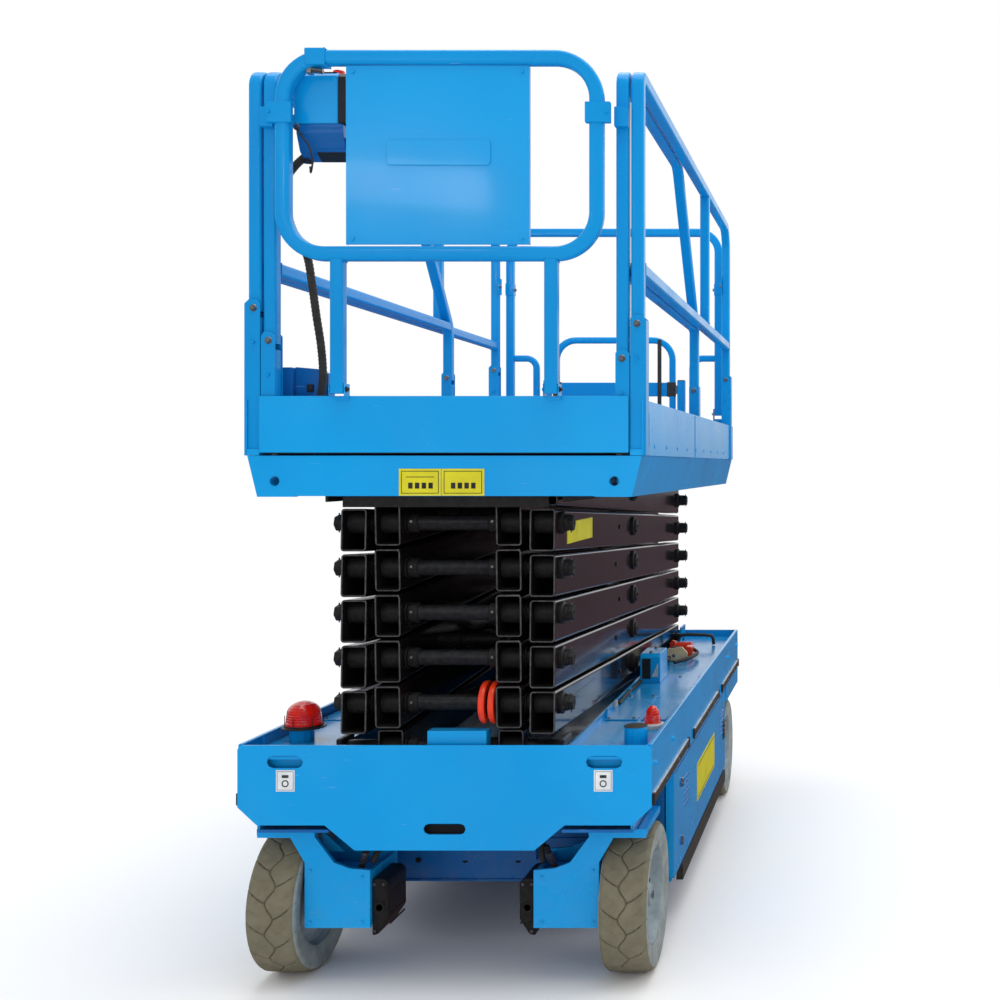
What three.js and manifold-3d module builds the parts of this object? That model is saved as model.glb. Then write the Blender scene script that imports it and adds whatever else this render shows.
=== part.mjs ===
// Self-propelled slab scissor lift, stowed: chassis on four wheels, six crossed pairs of
// arms, and a railed platform with a roll-out front deck.
// Millimetres, Z up, ground at Z = 0. The steering end is the front and faces -Y.
// Right is +X, as seen by someone looking at the steering end.
// A depth is a distance towards +Y from the chassis' front face.
import * as THREE from 'three';
import { mergeVertices } from 'three/addons/utils/BufferGeometryUtils.js';
import Module from 'manifold-3d';

const wasm = await Module();
wasm.setup();

// ---------------------------------------------------------------- dimensions
const SIDES = [[1, 'right'], [-1, 'left']];
const GAP = 0.4;                   // between separate pieces that meet

const FRONT = -1160;               // front face of the chassis
const LENGTH = 2320;               // chassis length
const HALF_W = 553;                // half the chassis width
const CHASSIS_TOP = 671;           // top edge of the chassis walls
const SHEET = 6;                   // front plate and rear walls

const WHEEL_R = 203;
const WHEEL_IN = 404, WHEEL_OUT = 540;
const AXLE_FRONT_Y = FRONT + WHEEL_R, AXLE_REAR_Y = FRONT + 2053, AXLE_Z = WHEEL_R;
const KINGPIN_X = 452;             // steering axis, above the wheel
const STEER_ARM = 150;             // kingpin to tie rod joint

const LEVELS = 6;                  // crossed pairs of arms
const PIN_FRONT = -1070, PIN_REAR = 1070;
const PIN_Z = 646, PITCH = 123;    // first pin height, and pin pitch when stowed
const ARM_H = 115, ARM_WALL = 5;   // arm tube height and wall
const INNER = [128, 198], OUTER = [219, 289]; // arm tubes across X
const PIN_OFFSET = 20;             // upper pin above the tube's centreline
const TAIL = 60, TAIL_TOP = 30, TAIL_BASE = 36; // tube beyond the end pin
const SHAFT_R = 21, HOLE_R = 23.2;

const DECK_Z = 1444, DECK_HALF = 531;
const SILL_Z = DECK_Z + GAP;       // underside of what stands on the deck
const BEAM_LOW = 1334, BEAM_HALF_LOW = 500;
const TOE_TOP = 1594, EXT_TOE_TOP = 1603;
const RAIL_R = 17.5;               // half the width of a rail tube
const RAIL_TOP = 2466, RAIL_MID = 1947;
const MAIN_X = 512.5, EXT_X = 472.5;
const MAIN_HINGE = { right: 1797, left: 1839 }; // heights of the folding hinges
const EXT_HINGE = { right: 1704, left: 1752 };
const POST_Y = FRONT + 29;         // front posts
const MAIN_REAR_Y = FRONT + 2205, MAIN_MID_Y = FRONT + 1460;
const EXT_REAR_Y = FRONT + 1455, EXT_BEND_Y = FRONT + 1010;
const LOOP_Y = FRONT - 30, LOOP_HINGE_Z = 1625, LOOP_HALF = 414;
const LOOP_TOP = 2494, LOOP_LOW = 1977, LOOP_BEND = 110;
const LOOP_LEG_X = { right: 294, left: -270 };
const REAR_Y = FRONT + 2290, REAR_HINGE_Z = 1650, REAR_X = 470;
const GATE_X = 262, GATE_TOP = 1996, GATE_POST_X = 302, GATE_R = 14;

// ---------------------------------------------------------------- materials
const material = (options) => new THREE.MeshStandardMaterial(options);
const BLUE = material({ color: 0x1f98d8, roughness: 0.32, metalness: 0.1 });
const BLACK = material({ color: 0x17171a, roughness: 0.25, metalness: 0.35 });
const STEEL = material({ color: 0x9a9da0, roughness: 0.35, metalness: 0.9 });
const TYRE = material({ color: 0x7d7868, roughness: 0.85, metalness: 0 });
const RIM = material({ color: 0x82919a, roughness: 0.5, metalness: 0.2 });
const RED = material({ color: 0xd8261c, roughness: 0.2, metalness: 0 });
const DARK = material({ color: 0x2a2a2c, roughness: 0.6, metalness: 0.1 });

// ---------------------------------------------------------------- solid helpers
function solid(geometry) {
  const bare = geometry.clone();
  for (const name of Object.keys(bare.attributes)) {
    if (name !== 'position') bare.deleteAttribute(name);
  }
  const merged = mergeVertices(bare, 1e-3);
  return new wasm.Manifold(new wasm.Mesh({
    numProp: 3,
    vertProperties: new Float32Array(merged.attributes.position.array),
    triVerts: new Uint32Array(merged.index.array),
  }));
}

// Both take solids, or lists of them nested to any depth.
const join = (...parts) => parts.flat(Infinity).reduce((body, part) => body.add(part));
const cut = (body, ...tools) => tools.flat(Infinity).reduce((rest, tool) => rest.subtract(tool), body);
const mirrorX = (build) => SIDES.map(([side, label]) => build(side, label));

// An (X, ...) outline carried to one side, keeping its winding.
const outlineOn = (side, outline) =>
  side > 0 ? outline : outline.map(([x, other]) => [-x, other]).reverse();

function box(x0, x1, y0, y1, z0, z1) {
  const geometry = new THREE.BoxGeometry(Math.abs(x1 - x0), Math.abs(y1 - y0), Math.abs(z1 - z0));
  geometry.translate((x0 + x1) / 2, (y0 + y1) / 2, (z0 + z1) / 2);
  return solid(geometry);
}
const depthBox = (x0, x1, depth0, depth1, z0, z1) =>
  box(x0, x1, FRONT + depth0, FRONT + depth1, z0, z1);

// Boxes from rows of x0, x1, depth0, depth1, z0, z1; side -1 mirrors them in X.
const boxes = (rows, side = 1) =>
  rows.map(([x0, x1, ...rest]) => depthBox(side * x0, side * x1, ...rest));

function rod(from, to, radius, segments = 8) {
  const start = new THREE.Vector3(...from), end = new THREE.Vector3(...to);
  const geometry = new THREE.CylinderGeometry(radius, radius, start.distanceTo(end), segments);
  const direction = end.clone().sub(start).normalize();
  const yAxis = new THREE.Vector3(0, 1, 0);
  geometry.applyQuaternion(new THREE.Quaternion().setFromUnitVectors(yAxis, direction));
  geometry.translate((start.x + end.x) / 2, (start.y + end.y) / 2, (start.z + end.z) / 2);
  return solid(geometry);
}
const xRod = (x0, x1, y, z, radius, segments) => rod([x0, y, z], [x1, y, z], radius, segments);
const yRod = (x, z, depth0, depth1, radius, segments) =>
  rod([x, FRONT + depth0, z], [x, FRONT + depth1, z], radius, segments);
const zRod = (x, y, z0, z1, radius, segments) => rod([x, y, z0], [x, y, z1], radius, segments);
// Rod across the machine, centred on X = 0.
const across = (y, z, radius, half) => xRod(-half, half, y, z, radius);

function shapeOf(points, holes = []) {
  const vectors = (outline) => outline.map((point) => new THREE.Vector2(...point));
  const shape = new THREE.Shape(vectors(points));
  for (const hole of holes) shape.holes.push(new THREE.Path(vectors(hole)));
  return shape;
}

// Prism of a closed outline: 'x' takes (Y, Z), 'y' takes (X, Z).
function prism(axis, points, from, to, holes) {
  const options = { depth: to - from, bevelEnabled: false, steps: 1 };
  const geometry = new THREE.ExtrudeGeometry(shapeOf(points, holes), options);
  if (axis === 'x') {
    geometry.applyMatrix4(new THREE.Matrix4().set(
      0, 0, 1, from,
      1, 0, 0, 0,
      0, 1, 0, 0,
      0, 0, 0, 1,
    ));
  } else {
    geometry.rotateX(Math.PI / 2);
    geometry.translate(0, to, 0);
  }
  return solid(geometry);
}

// A path given as stations, each a point and a tangent, so that a sweep has rings only there.
class Stations extends THREE.Curve {
  constructor(list) {
    super();
    this.list = list;
  }

  getTangentAt(fraction, target = new THREE.Vector3()) {
    return target.copy(this.list[Math.round(fraction * (this.list.length - 1))].tangent);
  }

  getSpacedPoints() {
    return this.list.map((station) => station.point.clone());
  }
}

// Square tube with broken corners through a list of points. half: centre to each side;
// bend: one radius for all the bends, or a list with one for each.
function pipe(points, half, bend, steps = 3) {
  const corners = points.map((point) => new THREE.Vector3(...point));
  const heading = (from, to) => corners[to].clone().sub(corners[from]).normalize();
  const last = corners.length - 1;
  const list = [{ point: corners[0], tangent: heading(0, 1) }];
  for (let i = 1; i < last; i++) {
    const back = heading(i, i - 1), ahead = heading(i, i + 1);
    const radius = Array.isArray(bend) ? bend[i - 1] : bend;
    const angle = back.angleTo(ahead);
    const inward = back.clone().add(ahead).normalize();
    const centre = corners[i].clone().addScaledVector(inward, radius / Math.sin(angle / 2));
    const spoke = corners[i].clone().addScaledVector(back, radius / Math.tan(angle / 2))
      .sub(centre).normalize();
    const forward = back.clone().negate();
    for (let k = 0; k <= steps; k++) {
      const turn = (Math.PI - angle) * k / steps;
      const cos = Math.cos(turn), sin = Math.sin(turn);
      list.push({
        point: centre.clone().addScaledVector(spoke, radius * cos)
          .addScaledVector(forward, radius * sin),
        tangent: spoke.clone().multiplyScalar(-sin).addScaledVector(forward, cos).normalize(),
      });
    }
  }
  list.push({ point: corners[last], tangent: heading(last - 1, last) });

  const flat = half - 5; // half of the flat on each side
  const section = shapeOf([
    [half, -flat], [half, flat], [flat, half], [-flat, half],
    [-half, flat], [-half, -flat], [-flat, -half], [flat, -half],
  ]);
  const extrudePath = new Stations(list);
  return solid(new THREE.ExtrudeGeometry(section, {
    steps: list.length - 1, bevelEnabled: false, extrudePath,
  }));
}

const latheGeometry = (profile, segments) =>
  new THREE.LatheGeometry(profile.map((point) => new THREE.Vector2(...point)), segments);

// Turned body around X, from a profile of (radius, x).
function turned(profile, segments, turn = 0) {
  const geometry = latheGeometry(profile, segments);
  geometry.rotateY(turn);
  geometry.rotateZ(-Math.PI / 2);
  return solid(geometry);
}

const group = new THREE.Group();
function add(name, body, meshMaterial, position = [0, 0, 0]) {
  const { vertProperties, triVerts } = body.getMesh();
  const geometry = new THREE.BufferGeometry();
  const positions = new THREE.BufferAttribute(new Float32Array(vertProperties), 3);
  geometry.setAttribute('position', positions);
  geometry.setIndex(new THREE.BufferAttribute(new Uint32Array(triVerts), 1));
  geometry.computeVertexNormals();
  const mesh = new THREE.Mesh(geometry, meshMaterial);
  mesh.name = name;
  mesh.position.set(...position);
  group.add(mesh);
}

// ---------------------------------------------------------------- scissor arms
const pinZ = (k) => PIN_Z + PITCH * k;
const midZ = (k) => pinZ(k - 1) + PITCH / 2;
const MID_Y = (PIN_FRONT + PIN_REAR) / 2;
const RUN = PIN_REAR - PIN_FRONT;
const SPAN = Math.hypot(RUN, PITCH);
const TILT = Math.atan2(PITCH, RUN) - Math.asin(PIN_OFFSET / SPAN);

// Cylinder eyes and the plain cross tube, as fractions of the inner arm from its front end.
const CYL_LOW = 0.932, CYL_HIGH = 0.116, PLAIN_CROSS = 0.8;
// (Y, Z) of a place on the pin line of inner arm k.
const onInnerArm = (k, fraction) =>
  [PIN_FRONT + RUN * fraction, pinZ(k - 1) + PITCH * fraction];

// Side outline of a tube whose low pin is at (lowY, lowZ) and which rises towards rise * Y.
function armOutline(lowY, lowZ, rise, half, tailLow, tailHigh) {
  const cos = Math.cos(TILT), sin = Math.sin(TILT);
  const end = Math.sqrt(SPAN ** 2 - PIN_OFFSET ** 2) + tailHigh;
  const corner = (along, up) =>
    [lowY + rise * (cos * along - sin * up), lowZ + sin * along + cos * up];
  const points = [
    corner(-tailLow, -half), corner(end, -half), corner(end, half), corner(-tailLow, half),
  ];
  return rise > 0 ? points : points.reverse();
}

// The right and left tubes of one arm, open at both ends.
function armTubes(lane, lowY, lowZ, rise, tailLow, tailHigh) {
  const tube = (inset, overrun) => (side) => {
    const [from, to] = side > 0 ? lane : [-lane[1], -lane[0]];
    const outline = armOutline(
      lowY, lowZ, rise, ARM_H / 2 - inset, tailLow + overrun, tailHigh + overrun);
    return prism('x', outline, from + inset, to - inset);
  };
  const outside = tube(0, 0), bore = tube(ARM_WALL, 5);
  return join(mirrorX((side) => outside(side).subtract(bore(side))));
}

// Collar and smaller cap on each end of a shaft, each given as its X range.
const pinHeads = (y, z, collar, cap) => mirrorX((side) => [
  xRod(side * collar[0], side * collar[1], y, z, 29),
  xRod(side * cap[0], side * cap[1], y, z, 23),
]);

// Outer arm: front end high, rear end low.
function outerArm(k) {
  const top = k === LEVELS, lowZ = pinZ(k - 1), highZ = pinZ(k), holeHalf = 320;
  const tubes = armTubes(OUTER, PIN_REAR, lowZ, -1, TAIL, top ? TAIL_TOP : TAIL);
  const holes = [
    across(PIN_REAR, lowZ, HOLE_R, holeHalf),
    across(MID_Y, midZ(k), HOLE_R, holeHalf),
  ];
  if (top) {
    // The top pair is tied by a cross tube close behind its front pins.
    holes.push(across(PIN_FRONT, highZ, HOLE_R, holeHalf));
    return join(cut(tubes, holes), across(FRONT + 150, highZ + 8, 14, OUTER[0] + 2));
  }
  return join(
    cut(tubes, holes),
    across(PIN_FRONT, highZ, SHAFT_R, OUTER[1] + 4),
    pinHeads(PIN_FRONT, highZ, [OUTER[1], 303], [300, 325]),
  );
}

// Inner arm: front end low, rear end high. It carries the stubs of the middle pivot.
function innerArm(k) {
  const top = k === LEVELS, lowZ = pinZ(k - 1), highZ = pinZ(k), holeHalf = 210;
  const tailLow = k === 1 ? TAIL_BASE : TAIL;
  const tubes = armTubes(INNER, PIN_FRONT, lowZ, 1, tailLow, top ? TAIL_TOP : TAIL);
  const holes = [across(PIN_FRONT, lowZ, HOLE_R, holeHalf)];
  const shafts = mirrorX((side) =>
    xRod(side * (INNER[0] + 2), side * 291, MID_Y, midZ(k), SHAFT_R));
  if (top) {
    holes.push(across(PIN_REAR, highZ, HOLE_R, holeHalf));
  } else {
    shafts.push(across(PIN_REAR, highZ, SHAFT_R, 303));
    shafts.push(pinHeads(PIN_REAR, highZ, [292, 312], [310, 336]));
  }
  // In each three pairs the first and third cross tubes take the ends of a cylinder.
  const crossAt = [CYL_LOW, PLAIN_CROSS, CYL_HIGH][(k - 1) % 3];
  const crossTube = across(...onInnerArm(k, crossAt), 19, INNER[0] + 3);
  return join(cut(tubes, holes), shafts, crossTube);
}

for (let k = 1; k <= LEVELS; k++) {
  add(`outer_arm_${k}`, outerArm(k), BLACK);
  add(`inner_arm_${k}`, innerArm(k), BLACK);
}

// Lift cylinder from inner arm k up to inner arm k + 2; stations run from its low eye.
const BARREL_R = 44, BORE_R = 36, ROD_R = 27;
const BARREL_FROM = 30, BARREL_TO = 1210, ROD_FROM = 540, ROD_SHORT = 60;
const BARREL_END = 60, COLLAR = 70; // solid barrel ends, and length of the barrel's collar
function addLiftCylinder(name, k) {
  const [lowY, lowZ] = onInnerArm(k, CYL_LOW);
  const [highY, highZ] = onInnerArm(k + 2, CYL_HIGH);
  const length = Math.hypot(highY - lowY, highZ - lowZ);
  const point = (station) =>
    [0, lowY + (highY - lowY) * station / length, lowZ + (highZ - lowZ) * station / length];
  const part = (from, to, radius, segments) => rod(point(from), point(to), radius, segments);
  const collarFrom = BARREL_TO - COLLAR, rodTo = length - ROD_SHORT;
  add(`${name}_cylinder_barrel`, cut(
    join(
      part(BARREL_FROM, BARREL_TO, BARREL_R, 14),
      part(collarFrom, BARREL_TO, BARREL_R + 6, 14)),
    part(BARREL_FROM + BARREL_END, BARREL_TO - BARREL_END, BORE_R, 14),
    part(collarFrom, BARREL_TO + 10, ROD_R + 1.6, 14),
  ), BLACK);
  add(`${name}_cylinder_rod`, join(
    part(ROD_FROM, rodTo, ROD_R, 12),
    part(rodTo - 52, rodTo, 33, 12),
  ), STEEL);
}
addLiftCylinder('lower', 1);
addLiftCylinder('upper', 4);

// Fixed pivots at the rear, and sliding shafts with their blocks at the front.
add('base_pivot_shaft', across(PIN_REAR, pinZ(0), SHAFT_R, 321), STEEL);
add('platform_pivot_shaft', across(PIN_REAR, pinZ(LEVELS), SHAFT_R, 334), STEEL);
const slideShaft = (z) => join(
  across(PIN_FRONT, z, SHAFT_R, 300),
  mirrorX((side) => box(side * 293, side * 309, PIN_FRONT - 45, PIN_FRONT + 45, z - 32, z + 32)));
add('base_slide_shaft', slideShaft(pinZ(0)), STEEL);
add('platform_slide_shaft', slideShaft(pinZ(LEVELS)), STEEL);

// ---------------------------------------------------------------- chassis
const INSIDE = SHEET + GAP, REAR_WALL = LENGTH - SHEET; // depths just inside the end plates
const TROUGH_IN = 312, TROUGH_OUT = 320, TROUGH_Z = 450;
const BAY_Z = 164, BAY_FLOOR = 172;      // compartment floor, bottom and top
const TRAY_Z = 180;                      // top of the doors' trays
const GUARD_X = 400, GUARD_Z = 146;      // pivot tubes of the pothole guards
const POST_TOP = { right: 690, left: 678 }; // lamp posts
const BAY_TOP = 640;
const LEFT_POST_DEPTH = 197;

function chassisSide(side, label) {
  const band = [[495.5, 457], [501.5, 457], [HALF_W, 506], [547, 506]];
  return [
    boxes([
      [TROUGH_IN, TROUGH_OUT, 34, REAR_WALL, TROUGH_Z, 655],    // side of the arm trough
      [TROUGH_IN, TROUGH_OUT, 2170, 2290, 600, 700],            // ear for the rear pivot
      [TROUGH_IN, 548, INSIDE, REAR_WALL, 632, BAY_TOP],        // compartment top
      [547, HALF_W, INSIDE, REAR_WALL, 505, CHASSIS_TOP],       // side wall, upper band
      [TROUGH_IN, 503, INSIDE, 425, 436, 444],                  // wheel arch, front
      [496, 502, INSIDE, 421, 440, 458],                        // lip of the front arch
    ], side),
    // slanted band above the front arch
    prism('y', outlineOn(side, band), FRONT + INSIDE, FRONT + 421),
    boxes([
      [TROUGH_IN, 550, 1836, REAR_WALL, 436, 444],              // wheel arch, rear
      [540, HALF_W, 1836, REAR_WALL, 436, 506],                 // side of the rear arch
      [300, 520, 424, 431, BAY_Z, BAY_TOP],                     // compartment ends
      [300, 540, 1834, 1842, BAY_Z, BAY_TOP],
      [300, 540, 424, 1842, BAY_Z, BAY_FLOOR],                  // compartment floor
      [300, 308, 424, 1842, BAY_Z, 458],                        // compartment inner side
      [293, 313, 40, 1290, 598, 613],                           // track of the sliding blocks
      [300, 398, 2013, 2093, 160, 246],                         // rear axle stub
      [300, 330, 1990, 2116, 160, 440],                         // plate beside the stub
      [GUARD_X - 16, GUARD_X + 16, 880, 896, 130, 166],         // lugs of the pothole guard
      [GUARD_X - 16, GUARD_X + 16, 1500, 1516, 130, 166],
    ], side),
    // lamp post
    side > 0
      ? zRod(483, FRONT + 155, 630, POST_TOP[label], 33, 12)
      : zRod(-468, FRONT + LEFT_POST_DEPTH, 630, POST_TOP[label], 34, 12),
  ];
}

const chassisMiddle = boxes([
  [-TROUGH_OUT, TROUGH_OUT, 34, REAR_WALL, TROUGH_Z, 458],      // trough floor
  [-TROUGH_OUT, TROUGH_OUT, 34, 42, TROUGH_Z, 590],             // trough front
  [-HALF_W, HALF_W, REAR_WALL, LENGTH, 436, CHASSIS_TOP],       // rear wall
  [-301, 301, 424, 432, 166, 301],                              // panel between front wheels
  [-140, 140, 400, 430, 236, 455],                              // block ahead of that panel
  [-301, 301, 2033, 2073, 170, 236],                            // rear axle beam
  [-309, 309, 424, 432, 300, 458],                              // upper cross panels
  [-309, 309, 1832, 1844, 300, 458],
  [-52, 106, 20, 60, 456, 705],                                 // cable cover
]);

// Holes for the rear pivot, the kingpin and the guard's tube.
const chassisHoles = mirrorX((side) => [
  xRod(side * 305, side * 325, PIN_REAR, pinZ(0), HOLE_R),
  zRod(side * KINGPIN_X, AXLE_FRONT_Y, 430, TROUGH_Z, 27.5, 12),
  yRod(side * GUARD_X, GUARD_Z, 870, 1530, 11.4),
]);
add('chassis_frame', cut(join(mirrorX(chassisSide), chassisMiddle), chassisHoles), BLUE);

// Round-ended slot, long in X.
function slot(centreX, centreZ, width, height) {
  const radius = height / 2, points = [];
  for (const end of [1, -1]) {
    for (let i = 0; i <= 4; i++) {
      const angle = -end * Math.PI / 2 + Math.PI * i / 4;
      const x = centreX + end * (width / 2 - radius) + radius * Math.cos(angle);
      points.push([x, centreZ + radius * Math.sin(angle)]);
    }
  }
  return points;
}
const plateRight = [ // (X, Z), upwards
  [240, 390], [320, 457], [501, 457], [HALF_W, 505], [HALF_W, 660], [542, CHASSIS_TOP],
];
add('front_plate', prism('y', [...plateRight, ...outlineOn(-1, plateRight)], FRONT, FRONT + SHEET,
  [slot(426, 626, 97, 33), slot(-426, 626, 97, 33), slot(0, 447, 113, 29)]), BLUE);

for (const [side, label] of SIDES) {
  add(`door_${label}`, join(boxes([
    [543, 549, 426, 1829, 174, 500],          // skin
    [524, 544, 426, 431, 174, 500],           // returned edges: front, rear, top
    [524, 544, 1823, 1829, 174, 500],
    [524, 544, 426, 1829, 494, 500],
    [330, 544, 470, 1823, 174, TRAY_Z],       // swing-out tray
  ], side)), BLUE);
  // Pothole guard: a bar on arms that turn about a tube under the chassis.
  const [bar, ...arms] = boxes([
    [530, 551, 600, 1815, 112, 160],
    [GUARD_X - 2, 532, 700, 730, 139, 153],
    [GUARD_X - 2, 532, 1680, 1710, 139, 153],
  ], side);
  const tube = yRod(side * GUARD_X, GUARD_Z, 640, 1760, 10);
  add(`pothole_guard_${label}`, join(bar, tube, arms), DARK);
}

// Left tray: batteries. Right tray: tank with its filler, and the pump motor.
const TRAY_LOAD_Z = TRAY_Z + GAP;
for (const [i, depth] of [[1, 500], [2, 830]]) {
  add(`battery_${i}`, depthBox(-512, -332, depth, depth + 300, TRAY_LOAD_Z, 432), DARK);
}
add('hydraulic_tank', join(
  depthBox(336, 505, 500, 900, TRAY_LOAD_Z, 420),
  zRod(420, FRONT + 580, 418, 446, 24, 12),
), BLACK);
add('pump_motor', join(
  yRod(420, 268, 960, 1260, 70, 12),
  depthBox(340, 500, 1000, 1220, TRAY_LOAD_Z, 206),
  depthBox(360, 480, 1255, 1330, 208, 328),
), DARK);

// Ladder on the rear wall: stiles, three treads and an upper plate.
const LADDER_FROM = LENGTH + GAP;
add('entry_ladder', join(
  mirrorX((side) => depthBox(side * 205, side * 211, LADDER_FROM, 2372, 190, 640)),
  [205, 400, 600].map((z) => depthBox(-206, 206, 2330, 2372, z, z + 24)),
  depthBox(-212, 212, LADDER_FROM, 2326, 560, 640),
), BLUE);

// Domed lamp with a foot ring, standing at height bottom.
function beacon({ x, depth, bottom, radius, height, ring }) {
  const profile = [
    [0, 0], [ring, 0], [ring, 8], [radius, 10],
    [radius * 0.96, height * 0.55], [radius * 0.7, height * 0.88], [0, height],
  ];
  const geometry = latheGeometry(profile, 16);
  geometry.rotateX(Math.PI / 2);
  geometry.translate(x, FRONT + depth, bottom);
  return solid(geometry);
}
add('beacon_left', beacon({
  x: -463, depth: LEFT_POST_DEPTH, bottom: POST_TOP.left + GAP, radius: 49, height: 74, ring: 60,
}), RED);
add('beacon_right', beacon({
  x: 494, depth: 368, bottom: BAY_TOP + GAP, radius: 26, height: 66, ring: 35,
}), RED);

// ---------------------------------------------------------------- steering and wheels
const TIE_ROD_Y = AXLE_FRONT_Y + STEER_ARM;
// (X, Z) of the yoke's end plates, from the lower inner corner.
const yokeStep = [[373, 414], [373, 409], [321, 339], [279, 323], [222, 318]];
const yokeFront = [[222, 161], [400, 161], [400, 339], [441, 409], [441, 414], ...yokeStep];
const yokeRear = [[222, 161], [398, 161], [398, 414], ...yokeStep];

for (const [side, label] of SIDES) {
  const yoke = join(
    prism('y', outlineOn(side, yokeFront), FRONT + 60, FRONT + 72),
    prism('y', outlineOn(side, yokeRear), FRONT + 248, FRONT + 260),
    boxes([
      [386, 399, 64, 256, 164, 330],          // outer wall
      [223, 235, 64, 256, 164, 312],          // inner wall
      [224, 398, 64, 256, 162, 172],          // floor
      [372, 529, 58, 290, 412, 430],          // top plate
      [KINGPIN_X - 22, KINGPIN_X + 22, 280, WHEEL_R + STEER_ARM + 22, 413, 429], // steering arm
    ], side),
    zRod(side * KINGPIN_X, AXLE_FRONT_Y, 425, 478, 25, 12),
    xRod(side * 230, side * 392, AXLE_FRONT_Y, AXLE_Z + 33, 60, 12), // drum between the walls
  );
  const jointHole = zRod(side * KINGPIN_X, TIE_ROD_Y, 400, 440, 8.6, 12);
  add(`steer_yoke_${label}`, cut(yoke, jointHole), BLUE);
}
add('tie_rod', join(
  mirrorX((side) => [
    zRod(side * KINGPIN_X, TIE_ROD_Y, 392, 409, 17, 12),
    zRod(side * KINGPIN_X, TIE_ROD_Y, 400, 434, 7.6, 12),
  ]),
  xRod(-KINGPIN_X, KINGPIN_X, TIE_ROD_Y, 399, 9, 10),
), STEEL);

const TYRE_SIDES = 20;
const TYRE_R = WHEEL_R / Math.cos(Math.PI / TYRE_SIDES); // to the corners of the polygon
const TREAD = (WHEEL_OUT - WHEEL_IN) / 2;                // half the tyre's width
// Profiles of (radius, x), x outwards from the middle of the wheel.
const tyreProfile = [
  [132, -TREAD + 10], [TYRE_R - 26, -TREAD], [TYRE_R, -TREAD + 16], [TYRE_R, TREAD - 16],
  [TYRE_R - 26, TREAD], [132, TREAD - 10], [132, -TREAD + 10],
];
const hubProfile = [
  [0, -TREAD + 6], [60, -TREAD + 6], [126, -TREAD + 30], [126, TREAD - 20],
  [110, TREAD - 20], [92, TREAD - 44], [40, TREAD - 22], [0, TREAD - 22],
];
const profileOn = (side, profile) =>
  side > 0 ? profile : profile.map(([radius, x]) => [radius, -x]).reverse();
for (const [place, side, y] of [
  ['front_left', -1, AXLE_FRONT_Y], ['front_right', 1, AXLE_FRONT_Y],
  ['rear_left', -1, AXLE_REAR_Y], ['rear_right', 1, AXLE_REAR_Y],
]) {
  const centre = [side * (WHEEL_IN + WHEEL_OUT) / 2, y, AXLE_Z];
  const tyre = turned(profileOn(side, tyreProfile), TYRE_SIDES, Math.PI / TYRE_SIDES);
  add(`tyre_${place}`, tyre, TYRE, centre);
  add(`wheel_hub_${place}`, turned(profileOn(side, hubProfile), 14), RIM, centre);
}

// ---------------------------------------------------------------- platform
function platformFrame() {
  const outline = [
    [-BEAM_HALF_LOW, BEAM_LOW], [BEAM_HALF_LOW, BEAM_LOW],
    [DECK_HALF - 4.5, DECK_Z], [-DECK_HALF + 4.5, DECK_Z],
  ];
  const shell = cut(prism('y', outline, FRONT, FRONT + LENGTH), boxes([
    [-488, 488, 24, 2296, 1300, 1438],        // hollow underside
    [-400, 400, -10, 40, 1300, 1336],         // lower edge of the front beam
    [-215, 215, 2290, 2315, 1300, 1438],      // recess in the rear beam
  ]));
  const fittings = mirrorX((side) => boxes([
    [314, 322, 10, 1200, 1320, 1440],         // channel of the sliding blocks
    [293, 322, 40, 1200, 1334, 1350],
    [312, 322, 2170, 2300, 1340, 1440],       // ear of the rear pivot
    [322, 490, 700, 720, 1360, 1440],         // cross ribs
    [322, 490, 1500, 1520, 1360, 1440],
    [314, 322, 1190, 2180, 1400, 1440],       // rib from channel to ear
  ], side));
  const plates = boxes([
    [-275, 275, 8, 23, 1306, 1440],           // plate in the front beam
    [-470, 470, 1515, 2150, 1442, 1447],      // tread plate, clear of deck and posts
  ]);
  const holes = mirrorX((side) => [
    xRod(side * 306, side * 330, PIN_REAR, pinZ(LEVELS), HOLE_R),
    yRod(side * 453, 1376, -5, 30, 13, 12),
  ]);
  return cut(join(shell, fittings, plates), holes);
}
add('platform_frame', platformFrame(), BLUE);

const post = (x, y, low, high) =>
  box(x - RAIL_R, x + RAIL_R, y - RAIL_R, y + RAIL_R, low, high);

// Foot of a folding post: tube, two hinge cheeks and the block that joins them.
const foot = (x, y, low, hinge) => [
  post(x, y, low, hinge - 24),
  box(x - 18, x + 18, y - 25, y - 19, hinge - 110, hinge + 22),
  box(x - 18, x + 18, y + 19, y + 25, hinge - 110, hinge + 22),
  box(x - 18, x + 18, y - 25, y + 25, hinge - 110, hinge - 60),
];

for (const [side, label] of SIDES) {
  const x = side * MAIN_X, hinge = MAIN_HINGE[label];
  add(`toe_board_${label}`, join(
    boxes([
      [527, DECK_HALF, 0, LENGTH, SILL_Z, TOE_TOP],
      [494, DECK_HALF, 0, 56, SILL_Z, 1462],
      [494, DECK_HALF, 2170, 2240, SILL_Z, 1462],
    ], side),
    foot(x, POST_Y, SILL_Z, hinge),
    foot(x, MAIN_REAR_Y, SILL_Z, hinge),
  ), BLUE);
  add(`main_rail_${label}`, join(
    pipe([
      [x, POST_Y, hinge - 8], [x, POST_Y, RAIL_TOP],
      [x, MAIN_REAR_Y, RAIL_TOP], [x, MAIN_REAR_Y, hinge - 8],
    ], RAIL_R, [30, 90]),
    pipe([[x, POST_Y, RAIL_MID], [x, MAIN_REAR_Y, RAIL_MID]], RAIL_R),
    pipe([[x, MAIN_MID_Y, RAIL_MID], [x, MAIN_MID_Y, RAIL_TOP]], RAIL_R),
  ), BLUE);
}

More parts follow.
